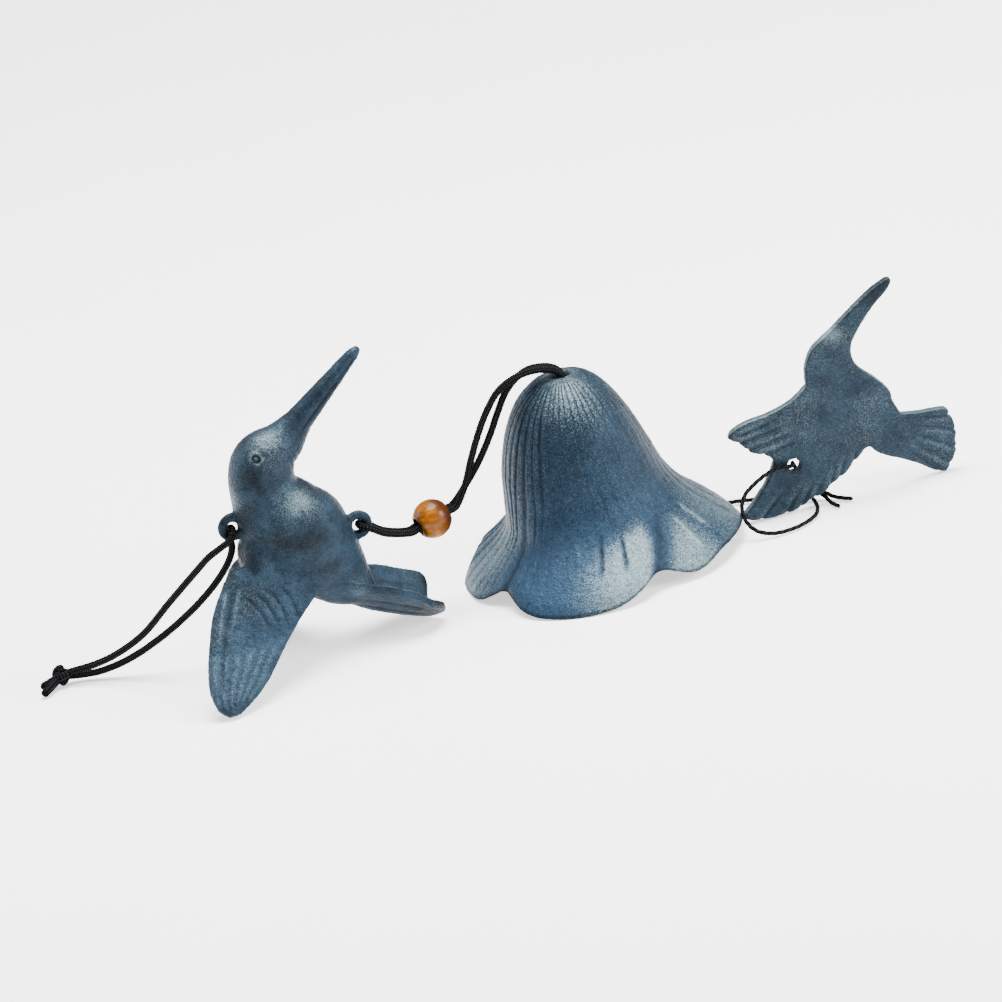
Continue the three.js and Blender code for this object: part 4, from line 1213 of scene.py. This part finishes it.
def plate_mesh():
    """The flat hummingbird, a skin round its solid, with feather grooves on both faces."""
    source = frame["nodes"]["flat_hummingbird"].data.copy()
    mesh = one_skin("flat_hummingbird_cast", [source], PLATE_GRAIN)
    relax(mesh, np.full(len(mesh.vertices), 0.3), 12)
    points = points_of(mesh)
    x, _, z = own_frame(points, PLATE_PLACE, PLATE_YAW)
    groove, crest = np.zeros((2, len(points)))
    for start, end in PLATE_GROOVES:
        long = math.dist(start, end)
        along, apart = from_line(x, z, start, end)
        shown = rise(0, 0.6 * long, along) * (1 - rise(long, long + 1.5, along))
        groove += shown * bump(apart, 0, 0.5)
        crest += shown * bump(apart, 1.2, 0.8)
    facing = normals_of(mesh) @ np.array([-math.sin(PLATE_YAW), math.cos(PLATE_YAW), 0])
    flat = rise(0.5, 0.9, np.abs(facing))
    body = patches(x, 0 * x, z, PLATE_BODY)
    lift = flat * (0.3 * body + 0.15 * crest) - (0.35 + 0.2 * (1 - flat)) * groove + grain_of(points)
    move_points(mesh, points + lift[:, None] * normals_of(mesh))
    up = normals_of(mesh)[:, 2]
    mottle = smooth_noise(points, 6, 31)
    head_cap_highlight = near(x, 0 * x, z, (27, 0, 55), (5, 1, 4))
    # Painted highlights on the edges that look up, on the bands beside the feather grooves and on the head's
    # cap, over an even dust with mottles.
    dust = 0.3 * (1 - flat) * rise(0.1, 0.7, up) + 0.1 + 0.1 * mottle + 0.12 * flat * crest + 0.3 * head_cap_highlight
    hole = np.hypot(x - PLATE_HOLE[0], z - PLATE_HOLE[1])
    stain = np.hypot(x - PLATE_STAIN[0], z - PLATE_STAIN[1])
    soot = (
        0.9 * rise(34, 44, x) * rise(56, 63, z) + 0.4 * flat * groove + 0.6 * bump(hole, 1.8, 1.8)
        + 0.35 * bump(stain, 0, 5) + 0.12 * mottle
    )
    add_values(mesh, pale=dust, dark=soot)
    return mesh


add_piece("flat_hummingbird_cast", plate_mesh(), "flat_hummingbird", "plate_iron", "flat_hummingbird")


# Bead and clapper


def turned(name, profile, sides, place, axis):
    """A closed turned ring: profile points of radius and height round an axis through a place."""
    radius, height = np.asarray(profile, float).T[..., None]
    turn = np.linspace(0, 2 * np.pi, sides, endpoint=False)[None]
    points = np.stack([radius * np.cos(turn), radius * np.sin(turn), height + 0 * turn], -1).reshape(-1, 3)
    points = points @ turn_from_up(axis).T + place
    return make_mesh(name, points, ring_quads(len(profile), sides, looped=True))


BEAD_BORE_RADIUS, BEAD_EDGE = 2.9, 0.5


def bead_mesh():
    """The turned bead, with a rounded edge at each end of its bore and small dents."""
    outer = BEAD_BORE_RADIUS + BEAD_EDGE
    start = math.asin(math.sqrt(1 - (outer / BEAD_RADIUS) ** 2))
    ball = [[BEAD_RADIUS * math.cos(a), BEAD_RADIUS * math.sin(a)] for a in np.linspace(-start, start, 90)]
    top = ball[-1][1]
    lip = [
        [BEAD_BORE_RADIUS + BEAD_EDGE * (1 - math.sin(a)), top - BEAD_EDGE * (1 - math.cos(a))]
        for a in np.linspace(0, 1.5, 8)
    ]
    bore = [[BEAD_BORE_RADIUS, h] for h in np.linspace(top - BEAD_EDGE, BEAD_EDGE - top, 20)]
    profile = ball + lip[1:] + bore + [[r, -h] for r, h in lip[:0:-1]]
    mesh = turned("wood_bead_turned", profile, 120, BEAD_PLACE, BEAD_AXIS)
    points = points_of(mesh)
    dent = 0.06 * smooth_noise(points, 2.4, 41) + 0.03 * smooth_noise(points, 0.9, 42)
    move_points(mesh, points + dent[:, None] * normals_of(mesh))
    along = (points - BEAD_PLACE) @ BEAD_AXIS
    # Darker near both ends of the bore and over the half of the bead towards the positive end of its axis.
    add_values(mesh, dark=np.maximum(rise(3.6, 5.4, np.abs(along)), 0.9 * rise(-1.5, 3.5, along)))
    return mesh


add_piece("wood_bead_turned", bead_mesh(), "bead", "bead_wood", "wood_bead")

CLAPPER_RADIUS, CLAPPER_THICKNESS, CLAPPER_HEIGHT, CLAPPER_HOLE_RADIUS = 17, 3.4, 19.5, 1.2
CLAPPER_EDGE, SWAGE_RADIUS = 1, 13.6


def clapper_mesh():
    """The clapper's disc, with a rounded edge and a shallow ring pressed into both faces."""
    half = CLAPPER_THICKNESS / 2
    inner = CLAPPER_RADIUS - CLAPPER_EDGE
    flat = np.linspace(CLAPPER_HOLE_RADIUS, inner, 90)
    profile = [[r, -half] for r in flat]
    profile += [
        [inner + CLAPPER_EDGE * math.cos(a), (half - CLAPPER_EDGE) * np.sign(a) + CLAPPER_EDGE * math.sin(a)]
        for a in np.linspace(-np.pi / 2, np.pi / 2, 16)[1:-1]
    ]
    profile += [[r, half] for r in flat[::-1]]
    profile += [[CLAPPER_HOLE_RADIUS, h] for h in np.linspace(half, -half, 12)[1:-1]]
    mesh = turned("clapper_disc", profile, 200, [0, 0, CLAPPER_HEIGHT], UPRIGHT)
    points = points_of(mesh)
    away = np.hypot(points[:, 0], points[:, 1])
    swage = -0.25 * bump(away, SWAGE_RADIUS, 0.6) * rise(4, 6, away)
    free = rise(CLAPPER_HOLE_RADIUS, CLAPPER_HOLE_RADIUS + 1.5, away)
    move_points(mesh, points + (free * (swage + 1.2 * grain_of(points)))[:, None] * normals_of(mesh))
    dust = 0.3 * rise(15.6, 16.8, away) + 0.1 * smooth_noise(points, 5, 51)
    soot = 0.5 * bump(away, SWAGE_RADIUS, 0.9) + 0.4 * bump(away, CLAPPER_HOLE_RADIUS, 2)
    add_values(mesh, pale=dust, dark=soot + 0.2 * smooth_noise(points, 6, 52))
    return mesh


add_piece("clapper_disc", clapper_mesh(), "clapper", "clapper_iron", "clapper")


# Places of the large bird's two eyes and of the wing loop's start at the flat bird's hole


back_eye_at = bird_point(BACK_EYE[0], 0, BACK_EYE[1])
belly_eye_at = bird_point(BELLY_EYE[0], 0, BELLY_EYE[1])
plate_point(*LOOP_AT_HOLE[0])
